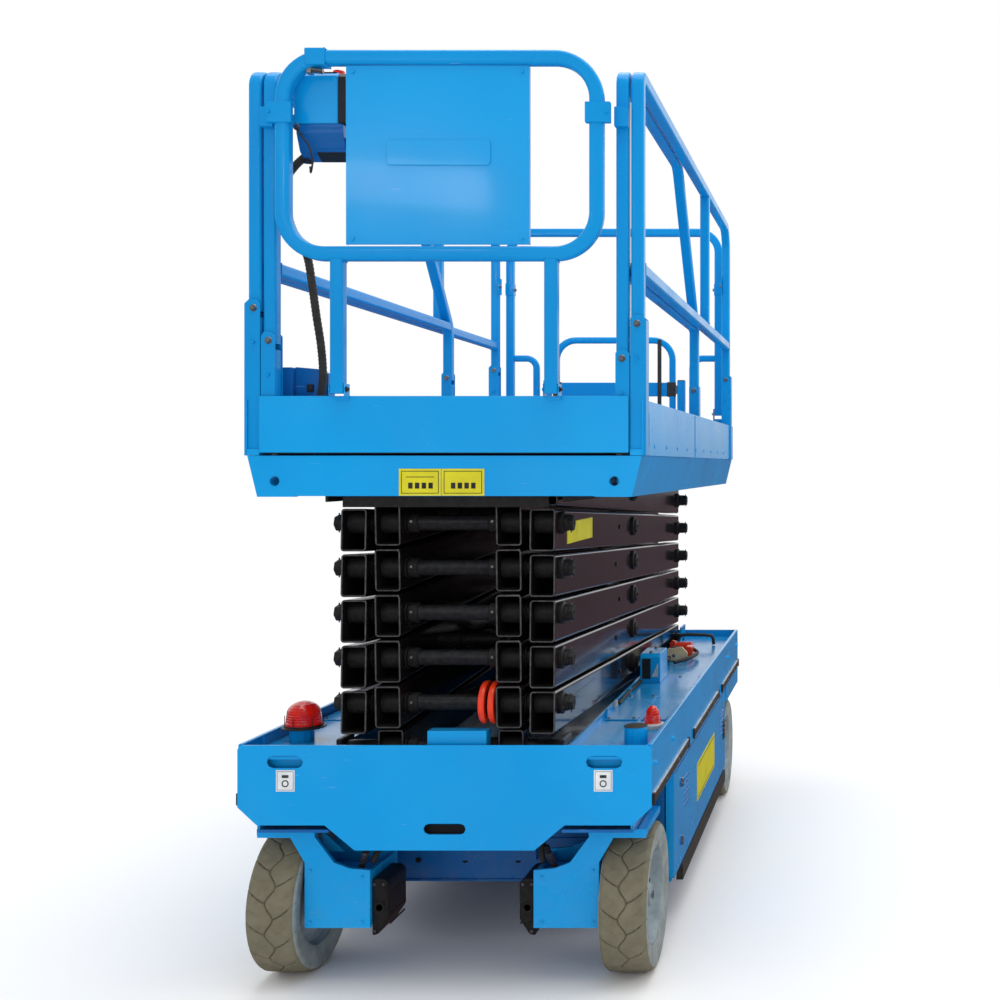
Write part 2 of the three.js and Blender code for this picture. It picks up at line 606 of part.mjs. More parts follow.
// Rear toe boards, gate posts and the feet of the folding rear rail.
function rearFrameSide(side) {
  const x = side * REAR_X, low = REAR_Y - 18, high = REAR_Y + 18, cheek = REAR_HINGE_Z - 90;
  return [
    boxes([
      [320, 526, REAR_WALL, LENGTH, SILL_Z, TOE_TOP],
      [285, 490, 2270, LENGTH, SILL_Z, 1452],
    ], side),
    post(side * GATE_POST_X, REAR_Y, SILL_Z, 1800),
    post(x, REAR_Y, SILL_Z, REAR_HINGE_Z - 24),
    [1, -1].map((end) => box(x + end * 19, x + end * 24, low, high, cheek, REAR_HINGE_Z + 22)),
    box(x - 24, x + 24, low, high, cheek, REAR_HINGE_Z - 50),
  ];
}
const rearSill = depthBox(-526, 526, REAR_WALL, LENGTH, SILL_Z, 1462);
add('rear_frame', join(rearSill, mirrorX(rearFrameSide)), BLUE);

// Arch in the plane of the rear rail: up from low, across at top, and down.
const rearArch = (half, low, top, radius, bend) => pipe([
  [-half, REAR_Y, low], [-half, REAR_Y, top], [half, REAR_Y, top], [half, REAR_Y, low],
], radius, bend);
add('rear_rail', join(
  rearArch(REAR_X, REAR_HINGE_Z - 8, RAIL_TOP + 2, RAIL_R, 90),
  mirrorX((side) => pipe([
    [side * REAR_X, REAR_Y, 1900], [side * 352, REAR_Y, 1900], [side * 352, REAR_Y, 1700],
  ], 14, 45)),
), BLUE);
const GATE_LOW = 1472;
add('gate', join(
  rearArch(GATE_X, GATE_LOW, GATE_TOP - GATE_R, GATE_R, 88),
  box(-GATE_X, GATE_X, REAR_Y - 12, REAR_Y + 12, 1729, 1791),
  box(-GATE_X, GATE_X, REAR_Y - 3, REAR_Y + 3, GATE_LOW, 1590),
), BLUE);

// ---------------------------------------------------------------- roll-out deck
const EXT_Z = 1452, EXT_REAR = 1495; // underside of the deck sheet, and its rear depth

function extensionSide(side, label) {
  const x = side * EXT_X, hinge = EXT_HINGE[label], legX = LOOP_LEG_X[label];
  return [
    boxes([
      [455, 470, 20, 1475, 1445, 1453],                 // runner
      [488, 492, -SHEET, EXT_REAR, EXT_Z, TOE_TOP],     // side toe board
    ], side),
    foot(x, POST_Y, 1454, hinge),
    foot(x, EXT_REAR_Y, 1454, hinge),
    // hinge cheeks of the front loop's leg, and the block between them
    [1, -1].map((end) => depthBox(legX + end * 19.5, legX + end * 24, -48, -3, 1560, 1644)),
    depthBox(legX - 24, legX + 24, -36, -3, 1560, 1600),
  ];
}
add('extension_deck', join(
  depthBox(-490, 490, -SHEET, EXT_REAR, EXT_Z, 1458),
  depthBox(-492, 492, -SHEET, 0, EXT_Z, EXT_TOE_TOP),
  mirrorX(extensionSide),
), BLUE);

for (const [side, label] of SIDES) {
  const x = side * EXT_X, hinge = EXT_HINGE[label];
  add(`extension_rail_${label}`, join(
    pipe([
      [x, POST_Y, hinge - 8], [x, POST_Y, RAIL_TOP], [x, EXT_BEND_Y, RAIL_TOP],
      [x, EXT_REAR_Y, RAIL_MID], [x, EXT_REAR_Y, hinge - 8],
    ], RAIL_R, [30, 88, 88]),
    pipe([[x, POST_Y, RAIL_MID], [x, EXT_REAR_Y, RAIL_MID]], RAIL_R),
    depthBox(side * 454, side * 490, -10, 14, 2320, 2374),
  ), BLUE);
}

add('front_loop', join(
  pipe([
    [0, LOOP_Y, LOOP_TOP], [LOOP_HALF, LOOP_Y, LOOP_TOP], [LOOP_HALF, LOOP_Y, LOOP_LOW],
    [-LOOP_HALF, LOOP_Y, LOOP_LOW], [-LOOP_HALF, LOOP_Y, LOOP_TOP], [0, LOOP_Y, LOOP_TOP],
  ], 19, LOOP_BEND, 4),
  mirrorX((side, label) => post(LOOP_LEG_X[label], LOOP_Y, LOOP_HINGE_Z - 18, LOOP_LOW)),
  mirrorX((side) => depthBox(side * 386, side * 452, -52, -34, 2320, 2374)),
), BLUE);
add('front_panel', join(boxes([
  [-247, 237, -38, -34, 2000, 2473],
  [-139, 136, -41, -37, 2209, 2278],
])), BLUE);

// Upper controls, hung from the left extension rail behind the front loop.
const STOP_X = -306, STOP_Y = FRONT + 60;
const boxUnderside = [ // (Y, Z)
  [FRONT + 4, 2331], [FRONT + 4, 2270], [FRONT + 60, 2240], [FRONT + 108, 2331],
];
add('control_box', cut(
  join(
    depthBox(-404, -266, 4, 108, 2330, 2470),
    prism('x', boxUnderside, -400, -270),
    depthBox(-470, -403, 47.5, 53, 2334, 2368)),
  zRod(STOP_X, STOP_Y, 2450, 2475, 6.4),
), BLUE);
add('joystick', zRod(-360, FRONT + 56, 2474, 2508, 8), DARK);
add('emergency_stop', join(
  zRod(STOP_X, STOP_Y, 2478, 2490, 16, 10),
  zRod(STOP_X, STOP_Y, 2464, 2480, 5),
), RED);

export default group;
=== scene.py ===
import math
import random

import bmesh
import bpy
from mathutils import Matrix, Vector


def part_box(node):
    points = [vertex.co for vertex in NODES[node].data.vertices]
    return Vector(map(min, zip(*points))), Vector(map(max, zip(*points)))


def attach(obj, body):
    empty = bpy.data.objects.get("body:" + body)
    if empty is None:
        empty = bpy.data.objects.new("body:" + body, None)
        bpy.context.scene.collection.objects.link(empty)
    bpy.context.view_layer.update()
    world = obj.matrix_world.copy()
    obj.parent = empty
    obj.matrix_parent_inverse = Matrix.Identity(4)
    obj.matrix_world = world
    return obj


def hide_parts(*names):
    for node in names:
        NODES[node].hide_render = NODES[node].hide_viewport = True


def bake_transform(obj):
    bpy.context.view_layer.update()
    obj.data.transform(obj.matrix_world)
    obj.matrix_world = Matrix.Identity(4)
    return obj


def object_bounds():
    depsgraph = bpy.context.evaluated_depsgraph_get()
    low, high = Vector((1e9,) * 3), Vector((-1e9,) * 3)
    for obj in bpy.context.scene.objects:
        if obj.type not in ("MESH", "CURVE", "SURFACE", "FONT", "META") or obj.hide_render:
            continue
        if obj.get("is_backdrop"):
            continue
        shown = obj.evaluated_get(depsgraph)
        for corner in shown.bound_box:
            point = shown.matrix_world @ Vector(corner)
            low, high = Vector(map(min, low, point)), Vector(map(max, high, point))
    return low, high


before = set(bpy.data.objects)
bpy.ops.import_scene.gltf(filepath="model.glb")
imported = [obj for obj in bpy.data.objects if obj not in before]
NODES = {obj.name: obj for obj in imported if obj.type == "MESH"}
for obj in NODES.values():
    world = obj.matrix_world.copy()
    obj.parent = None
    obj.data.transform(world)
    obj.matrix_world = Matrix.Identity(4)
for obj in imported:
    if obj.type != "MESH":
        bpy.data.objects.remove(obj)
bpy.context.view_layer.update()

random.seed(7)

FRONT = -1160.0


def D(d):
    return FRONT + d


# ------------------------------------------------------------------ materials
def lin(r, g, b):
    f = lambda c: (c / 255.0) / 12.92 if c / 255.0 <= 0.04045 else ((c / 255.0 + 0.055) / 1.055) ** 2.4
    return (f(r), f(g), f(b), 1.0)


class Nodes:
    """Small helper around a material's node tree."""

    def __init__(self, name):
        self.mat = bpy.data.materials.new(name)
        self.mat.use_nodes = True
        self.t = self.mat.node_tree
        self.t.nodes.clear()
        self.out = self.t.nodes.new("ShaderNodeOutputMaterial")
        self.coord = self.t.nodes.new("ShaderNodeTexCoord").outputs["Object"]

    def node(self, kind, **props):
        n = self.t.nodes.new(kind)
        for k, v in props.items():
            setattr(n, k, v)
        return n

    def link(self, a, b):
        self.t.links.new(a, b)

    def put(self, socket, value):
        if hasattr(value, "is_output") or isinstance(value, bpy.types.NodeSocket):
            self.link(value, socket)
        else:
            socket.default_value = value

    def noise(self, scale, detail=3.0, rough=0.55, vector=None, stretch=None):
        v = vector or self.coord
        if stretch:
            m = self.node("ShaderNodeMapping")
            self.link(v, m.inputs["Vector"])
            m.inputs["Scale"].default_value = stretch
            v = m.outputs["Vector"]
        n = self.node("ShaderNodeTexNoise")
        self.link(v, n.inputs["Vector"])
        n.inputs["Scale"].default_value = scale
        n.inputs["Detail"].default_value = detail
        n.inputs["Roughness"].default_value = rough
        return n.outputs["Fac"]

    def ramp(self, value, a, b, lo=0.0, hi=1.0):
        n = self.node("ShaderNodeMapRange")
        n.clamp = True
        self.put(n.inputs["Value"], value)
        n.inputs["From Min"].default_value = a
        n.inputs["From Max"].default_value = b
        n.inputs["To Min"].default_value = lo
        n.inputs["To Max"].default_value = hi
        return n.outputs["Result"]

    def math(self, op, a, b=0.0, c=0.0):
        n = self.node("ShaderNodeMath", operation=op)
        self.put(n.inputs[0], a)
        self.put(n.inputs[1], b)
        if op in ("MULTIPLY_ADD", "COMPARE"):
            self.put(n.inputs[2], c)
        return n.outputs[0]

    def mix(self, fac, a, b):
        n = self.node("ShaderNodeMix", data_type="RGBA")
        self.put(n.inputs[0], fac)
        self.put(n.inputs[6], a)
        self.put(n.inputs[7], b)
        return n.outputs[2]

    def xyz(self):
        n = self.node("ShaderNodeSeparateXYZ")
        self.link(self.coord, n.inputs[0])
        return n.outputs

    def normal_z(self):
        g = self.node("ShaderNodeNewGeometry")
        s = self.node("ShaderNodeSeparateXYZ")
        self.link(g.outputs["True Normal"], s.inputs[0])
        return s.outputs[2]

    def bump(self, height, strength, distance=0.001, normal=None):
        n = self.node("ShaderNodeBump")
        n.inputs["Strength"].default_value = strength
        n.inputs["Distance"].default_value = distance
        self.link(height, n.inputs["Height"])
        if normal:
            self.link(normal, n.inputs["Normal"])
        return n.outputs["Normal"]

    def principled(self, **inputs):
        p = self.node("ShaderNodeBsdfPrincipled")
        for k, v in inputs.items():
            self.put(p.inputs[k.replace("_", " ")], v)
        self.link(p.outputs[0], self.out.inputs["Surface"])
        return p


def paint(name, main, dark, rough=(0.16, 0.3), coat=0.2, grime=0.5, peel=0.05, reflection_tint=None, edge=None, spec=0.33):
    """Sprayed gloss paint: tone drifts a little, orange peel, dust on top faces, road grime low down, fine scratches."""
    n = Nodes(name)
    drift = n.noise(2.2, 2.0)
    base = n.mix(n.ramp(drift, 0.35, 0.68), main, dark)
    # optional dark tint in long patches: a painted reflection, dark red on the black paint
    if reflection_tint:
        base = n.mix(n.ramp(n.noise(1.3, 1.0, stretch=(1.0, 0.6, 3.0)), 0.48, 0.7, 0.0, 0.75), base, reflection_tint)
    # fine scratches, long in one direction
    scratch = n.ramp(n.noise(90.0, 2.0, 0.6, stretch=(0.14, 1.0, 1.4)), 0.70, 0.76)
    patches = n.ramp(n.noise(6.0, 2.0), 0.5, 0.66)
    worn = n.math("MULTIPLY", scratch, patches)
    base = n.mix(n.math("MULTIPLY", worn, 0.35), base, edge or lin(150, 190, 215))
    # dust on upward faces, grime near the ground
    up = n.ramp(n.normal_z(), 0.6, 1.0)
    dust = n.math("MULTIPLY", up, n.ramp(n.noise(14.0, 4.0, 0.6), 0.36, 0.82, 0.0, 0.14 * grime))
    base = n.mix(dust, base, lin(196, 190, 176))
    low = n.ramp(n.xyz()[2], 0.16, 0.52, 1.0, 0.0)
    splash = n.math("MULTIPLY", low, n.ramp(n.noise(22.0, 5.0, 0.65), 0.38, 0.82, 0.0, 0.22 * grime))
    base = n.mix(splash, base, lin(112, 106, 92))
    r = n.ramp(n.noise(5.0, 3.0), 0.3, 0.75, rough[0], rough[1])
    r = n.math("ADD", r, n.math("MULTIPLY", n.math("ADD", dust, splash), 0.8))
    peelh = n.noise(210.0, 2.0)
    waves = n.noise(7.0, 1.0)
    h = n.math("ADD", n.math("MULTIPLY", peelh, 0.25), waves)
    nrm = n.bump(h, peel, 0.004)
    p = n.principled(Base_Color=base, Roughness=r, Normal=nrm)
    p.inputs["Coat Weight"].default_value = coat
    p.inputs["Coat Roughness"].default_value = 0.06
    p.inputs["Specular IOR Level"].default_value = spec
    return n.mat


def plain(name, main, second, rough=(0.4, 0.6), metal=0.0, scale=30.0, bump=0.15, bscale=300.0, coat=0.0, dist=0.0006, spec=0.5, stretch=None):
    n = Nodes(name)
    a = n.noise(scale, 4.0, 0.6, stretch=stretch)
    base = n.mix(n.ramp(a, 0.34, 0.70), main, second)
    fine = n.noise(bscale, 3.0, 0.6, stretch=stretch)
    base = n.mix(n.ramp(fine, 0.55, 0.75, 0.0, 0.25), base, second)
    r = n.ramp(a, 0.3, 0.7, rough[0], rough[1])
    p = n.principled(Base_Color=base, Roughness=r, Metallic=metal, Normal=n.bump(fine, bump, dist))
    p.inputs["Coat Weight"].default_value = coat
    p.inputs["Specular IOR Level"].default_value = spec
    return n.mat


BLUE_A, BLUE_B = (0.003, 0.315, 0.715, 1), (0.003, 0.285, 0.665, 1)
M = {}
M["blue"] = paint("blue_paint", BLUE_A, BLUE_B)
M["blue_rail"] = paint("blue_rail_paint", (0.003, 0.27, 0.64, 1), (0.003, 0.24, 0.59, 1), coat=0.1, peel=0.03, grime=0.35, spec=0.2)
# darker blue standing in for shade: painted shade on lower, recessed and covered parts
M["blue_painted_shade"] = paint("blue_shaded_paint", (0.006, 0.10, 0.33, 1), (0.006, 0.13, 0.40, 1), grime=0.8)
M["black"] = paint("black_gloss_paint", (0.0045, 0.0042, 0.0048, 1), (0.009, 0.007, 0.007, 1), rough=(0.10, 0.24), coat=0.35,
                   grime=0.22, peel=0.05, reflection_tint=(0.016, 0.006, 0.008, 1), edge=lin(70, 60, 58), spec=0.45)
M["edge"] = plain("black_paint_edges", (0.10, 0.105, 0.11, 1), (0.04, 0.04, 0.042, 1), (0.35, 0.5), 0.3, 60)
M["inside"] = plain("tube_inside", (0.003, 0.003, 0.003, 1), (0.006, 0.005, 0.005, 1), (0.6, 0.8), 0.0, 40)
M["shaft"] = plain("shaft_black_oxide", (0.018, 0.019, 0.022, 1), (0.040, 0.041, 0.045, 1), (0.28, 0.45), 0.55, 70, 0.12)
M["steel"] = plain("zinc_steel", (0.45, 0.45, 0.44, 1), (0.27, 0.26, 0.24, 1), (0.22, 0.42), 0.95, 90, 0.12)
M["chrome"] = plain("hard_chrome", (0.72, 0.73, 0.75, 1), (0.60, 0.61, 0.63, 1), (0.06, 0.14), 1.0, 40, 0.04)
M["tyre"] = plain("grey_rubber", lin(118, 113, 94), lin(104, 99, 82), (0.62, 0.85), 0.0, 26, 0.5, 420, spec=0.3, dist=0.0012)
# darker rubber in the tread grooves: painted shade
M["groove_shade"] = plain("grey_rubber_groove_shade", lin(94, 90, 76), lin(82, 78, 66), (0.8, 0.95), 0.0, 60, 0.4, 420, spec=0.2)
M["rim"] = plain("rim_grey_paint", lin(150, 164, 170), lin(118, 132, 140), (0.35, 0.55), 0.1, 18, 0.2, 260)
M["rubber"] = plain("black_rubber", (0.022, 0.020, 0.016, 1), (0.045, 0.041, 0.032, 1), (0.5, 0.75), 0.0, 50, 0.4, 350)
M["plastic"] = plain("black_plastic", (0.012, 0.012, 0.013, 1), (0.022, 0.022, 0.023, 1), (0.35, 0.55), 0.0, 120, 0.35, 700)
M["pale"] = plain("pale_strip", lin(206, 210, 208), lin(168, 174, 176), (0.3, 0.5), 0.2, 40, 0.2)
M["yellow"] = plain("yellow_label", lin(214, 206, 24), lin(196, 188, 20), (0.3, 0.45), 0.0, 12, 0.1, 200)
M["white"] = plain("white_label", lin(226, 230, 232), lin(200, 206, 210), (0.3, 0.5), 0.0, 14, 0.1, 200)
M["ink"] = plain("label_ink", (0.012, 0.012, 0.012, 1), (0.03, 0.03, 0.03, 1), (0.4, 0.6), 0.0, 30)
M["orange"] = plain("orange_red_paint", lin(238, 62, 22), lin(206, 44, 16), (0.25, 0.45), 0.0, 25, 0.2, 260, coat=0.4)
M["beige"] = plain("beige_paint", lin(214, 196, 158), lin(190, 170, 130), (0.4, 0.6), 0.0, 20, 0.2)
M["battery"] = plain("battery_case", (0.016, 0.017, 0.02, 1), (0.03, 0.03, 0.034, 1), (0.45, 0.65), 0.0, 60, 0.3)
M["cast"] = plain("cast_black", (0.010, 0.010, 0.011, 1), (0.022, 0.021, 0.020, 1), (0.4, 0.6), 0.2, 90, 0.5, 260)


def lens(name, main, second):
    n = Nodes(name)
    a = n.noise(60.0, 3.0)
    s = n.xyz()
    ring = n.node("ShaderNodeTexWave", wave_type="BANDS", bands_direction="Z")
    n.link(n.coord, ring.inputs["Vector"])
    ring.inputs["Scale"].default_value = 42.0
    base = n.mix(n.ramp(a, 0.35, 0.7), main, second)
    p = n.principled(Base_Color=base, Roughness=n.ramp(a, 0.3, 0.7, 0.05, 0.16), Normal=n.bump(ring.outputs["Fac"], 0.5, 0.002))
    p.inputs["Transmission Weight"].default_value = 0.45
    p.inputs["Coat Weight"].default_value = 0.8
    p.inputs["Emission Color"].default_value = main
    p.inputs["Emission Strength"].default_value = 0.12
    return n.mat


M["lens"] = lens("red_lens", lin(232, 30, 12), lin(190, 14, 8))
M["lens_o"] = lens("orange_lens", lin(240, 44, 12), lin(206, 30, 10))


def treadplate():
    n = Nodes("blue_tread_plate")
    c = n.xyz()
    a = n.math("MULTIPLY", n.math("ADD", c[0], c[1]), 150.0)
    b = n.math("MULTIPLY", n.math("SUBTRACT", c[0], c[1]), 150.0)
    s1 = n.math("MULTIPLY", n.math("SINE", a), n.math("SINE", n.math("MULTIPLY", b, 0.5)))
    h = n.ramp(n.math("ABSOLUTE", s1), 0.55, 0.8)
    wear = n.noise(6.0, 5.0, 0.6)
    base = n.mix(n.ramp(wear, 0.4, 0.72), (0.010, 0.30, 0.68, 1), (0.016, 0.22, 0.5, 1))
    base = n.mix(n.math("MULTIPLY", h, n.ramp(n.noise(16.0, 4.0), 0.44, 0.66, 0.05, 0.6)), base, (0.36, 0.38, 0.40, 1))
    n.principled(Base_Color=base, Roughness=n.ramp(wear, 0.3, 0.7, 0.3, 0.6), Normal=n.bump(h, 0.6, 0.0015))
    return n.mat


M["tread"] = treadplate()


# ------------------------------------------------------------------ geometry, in mm
def rrect(w, h, r, n=3):
    """Rounded rectangle outline."""
    out = []
    for cx, cy, a0 in ((w / 2 - r, h / 2 - r, 0), (-w / 2 + r, h / 2 - r, 90), (-w / 2 + r, -h / 2 + r, 180), (w / 2 - r, -h / 2 + r, 270)):
        for i in range(n + 1):
            a = math.radians(a0 + 90.0 * i / n)
            out.append((cx + r * math.cos(a), cy + r * math.sin(a)))
    return out


def ring(r, n=24):
    return [(r * math.cos(2 * math.pi * i / n), r * math.sin(2 * math.pi * i / n)) for i in range(n)]


def V(p):
    return Vector((float(p[0]), float(p[1]), float(p[2])))


class Geo:
    def __init__(self, *mats):
        self.mats = list(mats)
        self.v, self.f, self.m = [], [], []

    def idx(self, mat):
        if mat not in self.mats:
            self.mats.append(mat)
        return self.mats.index(mat)

    def add(self, verts, faces, mat):
        k, o = self.idx(mat), len(self.v)
        self.v += [tuple(v) for v in verts]
        self.f += [tuple(i + o for i in f) for f in faces]
        self.m += [k] * len(faces)
        return self

    def add_bm(self, bm, mat):
        bm.verts.index_update()
        self.add([v.co for v in bm.verts], [[v.index for v in f.verts] for f in bm.faces], mat)
        bm.free()
        return self

    def rbox(self, x0, x1, y0, y1, z0, z1, b=1.5, mat="blue", seg=2, M4=None):
        bm = bmesh.new()
        bmesh.ops.create_cube(bm, size=1.0)
        sx, sy, sz = abs(x1 - x0), abs(y1 - y0), abs(z1 - z0)
        for v in bm.verts:
            v.co = Vector(((x0 + x1) / 2 + v.co.x * sx, (y0 + y1) / 2 + v.co.y * sy, (z0 + z1) / 2 + v.co.z * sz))
        b = min(b, 0.45 * min(sx, sy, sz))
        if b > 0.05:
            bmesh.ops.bevel(bm, geom=bm.edges[:], offset=b, segments=seg, affect="EDGES", profile=0.5)
        if M4 is not None:
            bm.transform(M4)
        return self.add_bm(bm, mat)

    def dbox(self, x0, x1, d0, d1, z0, z1, b=1.5, mat="blue", seg=2, M4=None):
        return self.rbox(x0, x1, D(d0), D(d1), z0, z1, b, mat, seg, M4)

    def prism(self, axis, outline, a, b, bev=1.5, mat="blue", seg=2):
        """Outline (Y,Z) along x, (X,Z) along y or (X,Y) along z."""
        put = {"x": lambda u, v, w: (w, u, v), "y": lambda u, v, w: (u, w, v), "z": lambda u, v, w: (u, v, w)}[axis]
        bm = bmesh.new()
        lo = [bm.verts.new(put(u, v, a)) for u, v in outline]
        hi = [bm.verts.new(put(u, v, b)) for u, v in outline]
        bm.faces.new(lo)
        bm.faces.new(hi[::-1])
        for i in range(len(lo)):
            j = (i + 1) % len(lo)
            bm.faces.new((lo[i], hi[i], hi[j], lo[j]))
        bmesh.ops.recalc_face_normals(bm, faces=bm.faces[:])
        if bev > 0.05:
            edges = [e for e in bm.edges if e.calc_face_angle(0) > math.radians(12)]
            bmesh.ops.bevel(bm, geom=edges, offset=bev, segments=seg, affect="EDGES", profile=0.5)
        return self.add_bm(bm, mat)

    def lathe(self, p, axis, prof, n=32, mat="steel", closed=False, turn=0.0):
        """prof is [(radius, distance along axis)]."""
        a = V(axis).normalized()
        u = a.orthogonal().normalized()
        if abs(a.x) > 0.9:
            u = Vector((0, 0, 1))
        elif abs(a.y) > 0.9:
            u = Vector((1, 0, 0))
        elif abs(a.z) > 0.9:
            u = Vector((1, 0, 0))
        w = a.cross(u)
        o = V(p)
        verts, faces, rows = [], [], []
        for r, h in prof:
            if r < 1e-6:
                rows.append([len(verts)] * n)
                verts.append(o + a * h)
            else:
                row = []
                for i in range(n):
                    t = 2 * math.pi * i / n + turn
                    row.append(len(verts))
                    verts.append(o + a * h + (u * math.cos(t) + w * math.sin(t)) * r)
                rows.append(row)
        pairs = list(zip(rows, rows[1:])) + ([(rows[-1], rows[0])] if closed else [])
        for A, B in pairs:
            for i in range(n):
                j = (i + 1) % n
                f = []
                for q in (A[i], A[j], B[j], B[i]):
                    if q not in f:
                        f.append(q)
                if len(f) > 2:
                    faces.append(f)
        if not closed:
            for row, keep in ((rows[0], prof[0][0] > 1e-6), (rows[-1], prof[-1][0] > 1e-6)):
                if keep:
                    faces.append(list(row))
        return self.add(verts, faces, mat)

    def cyl(self, p, q, r, mat="steel", n=28, c=1.2):
        a = V(q) - V(p)
        L = a.length
        c = min(c, r * 0.4, L * 0.3)
        return self.lathe(p, a, [(0, 0), (r - c, 0), (r, c), (r, L - c), (r - c, L), (0, L)], n, mat)

    def bolt(self, p, axis, r=8.0, h=6.0, mat="steel", washer=True):
        a = V(axis).normalized()
        p = V(p)
        if washer:
            self.lathe(p, a, [(0, 0), (r * 1.45, 0), (r * 1.5, 0.8), (r * 1.35, 1.8), (0, 1.8)], 20, mat)
        self.lathe(p + a * 1.6, a, [(0, 0), (r, 0), (r, h * 0.8), (r * 0.86, h), (0, h)], 6, mat, turn=random.random())
        return self

    def sweep(self, pts, prof, bend=0.0, B=(1, 0, 0), steps=9, closed=False, mat="blue_rail", caps=True):
        P = [V(p) for p in pts]
        B = V(B).normalized()
        n = len(P)
        st = []
        rng = range(n) if closed else range(1, n - 1)
        if not closed:
            st.append((P[0], (P[1] - P[0]).normalized()))
        for i in rng:
            R = bend[i - 1] if isinstance(bend, (list, tuple)) else bend
            a = (P[i - 1] - P[i]).normalized()
            b = (P[(i + 1) % n] - P[i]).normalized()
            ang = a.angle(b)
            back = R / math.tan(ang / 2)
            c = P[i] + (a + b).normalized() * (R / math.sin(ang / 2))
            u = (P[i] + a * back - c).normalized()
            v = -a
            for k in range(steps + 1):
                q = (math.pi - ang) * k / steps
                st.append((c + u * (R * math.cos(q)) + v * (R * math.sin(q)), (-u * math.sin(q) + v * math.cos(q)).normalized()))
        if not closed:
            st.append((P[-1], (P[-1] - P[-2]).normalized()))
        return self.stations(st, prof, B, closed, mat, caps)

    def stations(self, st, prof, B, closed, mat, caps=True):
        m = len(prof)
        verts, faces = [], []
        for p, t in st:
            N = B.cross(t).normalized()
            for u, v in prof:
                verts.append(p + N * u + B * v)
        k = len(st)
        for i in range(k if closed else k - 1):
            A, C = i * m, ((i + 1) % k) * m
            for j in range(m):
                j2 = (j + 1) % m
                faces.append((A + j, A + j2, C + j2, C + j))
        if caps and not closed:
            faces.append(tuple(range(m)))
            faces.append(tuple(range((k - 1) * m, k * m)))
        return self.add(verts, faces, mat)

    def hose(self, pts, r, mat="rubber", n=12, per=8, ribs=0.0):
        """Smooth curve through the points."""
        P = [V(p) for p in pts]
        P = [P[0] * 2 - P[1]] + P + [P[-1] * 2 - P[-2]]
        out = []
        for i in range(1, len(P) - 2):
            for k in range(per):
                t = k / per
                a, b, c, d = P[i - 1], P[i], P[i + 1], P[i + 2]
                out.append(0.5 * ((2 * b) + (c - a) * t + (2 * a - 5 * b + 4 * c - d) * t * t + (3 * b - a - 3 * c + d) * t ** 3))
        out.append(P[-2])
        verts, faces = [], []
        prev = None
        for i, p in enumerate(out):
            t = (out[min(i + 1, len(out) - 1)] - out[max(i - 1, 0)]).normalized()
            u = t.orthogonal().normalized() if prev is None else (prev - t * prev.dot(t)).normalized()
            prev = u
            w = t.cross(u)
            rr = r * (1 - ribs * (i % 2))
            for j in range(n):
                a = 2 * math.pi * j / n
                verts.append(p + (u * math.cos(a) + w * math.sin(a)) * rr)
        for i in range(len(out) - 1):
            for j in range(n):
                j2 = (j + 1) % n
                faces.append((i * n + j, i * n + j2, (i + 1) * n + j2, (i + 1) * n + j))
        faces += [tuple(range(n)), tuple(range((len(out) - 1) * n, len(out) * n))]
        return self.add(verts, faces, mat)

    def build(self, name, body, replaces=(), slot=None, angle=38.0, blend=None, recalc=True):
        me = bpy.data.meshes.new(name)
        me.from_pydata([(x * 0.001, y * 0.001, z * 0.001) for x, y, z in self.v], [], self.f)
        for k in self.mats:
            me.materials.append(M[k])
        me.polygons.foreach_set("material_index", self.m)
        if recalc:
            bm = bmesh.new()
            bm.from_mesh(me)
            bmesh.ops.recalc_face_normals(bm, faces=bm.faces[:])
            bm.to_mesh(me)
            bm.free()
        me.polygons.foreach_set("use_smooth", [True] * len(me.polygons))
        me.set_sharp_from_angle(angle=math.radians(angle))
        me.update()
        ob = bpy.data.objects.new(name, me)
        bpy.context.scene.collection.objects.link(ob)
        wn = ob.modifiers.new("normals", "WEIGHTED_NORMAL")
        wn.keep_sharp = True
        if blend:
            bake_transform(ob)
        else:
            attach(ob, body)
        if replaces:
            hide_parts(*([replaces] if isinstance(replaces, str) else replaces))
        return ob


def keep(node, mat, slot, bevel=1.6, pick=None):
    """Shows a CAD node itself, with softened edges and a detailed material."""
    ob = NODES[node]
    me = ob.data
    a = me.attributes.get("custom_normal")
    if a is not None:
        me.attributes.remove(a)
    me.shade_flat()
    me.materials.clear()
    me.materials.append(M[mat])
    if pick:
        for key, test in pick:
            me.materials.append(M[key])
            k = len(me.materials) - 1
            for poly in me.polygons:
                if test(Vector(poly.center) * 1000.0, poly.normal):
                    poly.material_index = k
    w = ob.modifiers.new("weld", "WELD")
    w.merge_threshold = 0.00005
    b = ob.modifiers.new("bevel", "BEVEL")
    b.width = bevel * 0.001
    b.segments = 2
    b.limit_method = "ANGLE"
    b.angle_limit = math.radians(35)
    b.use_clamp_overlap = True
    b.harden_normals = False
    return ob


for m in list(NODES.values()):
    m.visible_shadow = True

# ------------------------------------------------------------------ arms
PIN_NEAR, PIN_FAR = -1070.0, 1070.0
Z0, PITCH = 646.0, 123.0
z = lambda k: Z0 + PITCH * k
SPAN = math.hypot(PIN_FAR - PIN_NEAR, PITCH)
TILT = math.atan2(PITCH, PIN_FAR - PIN_NEAR) - math.asin(20.0 / SPAN)
INNER, OUTER = (128.0, 198.0), (219.0, 289.0)


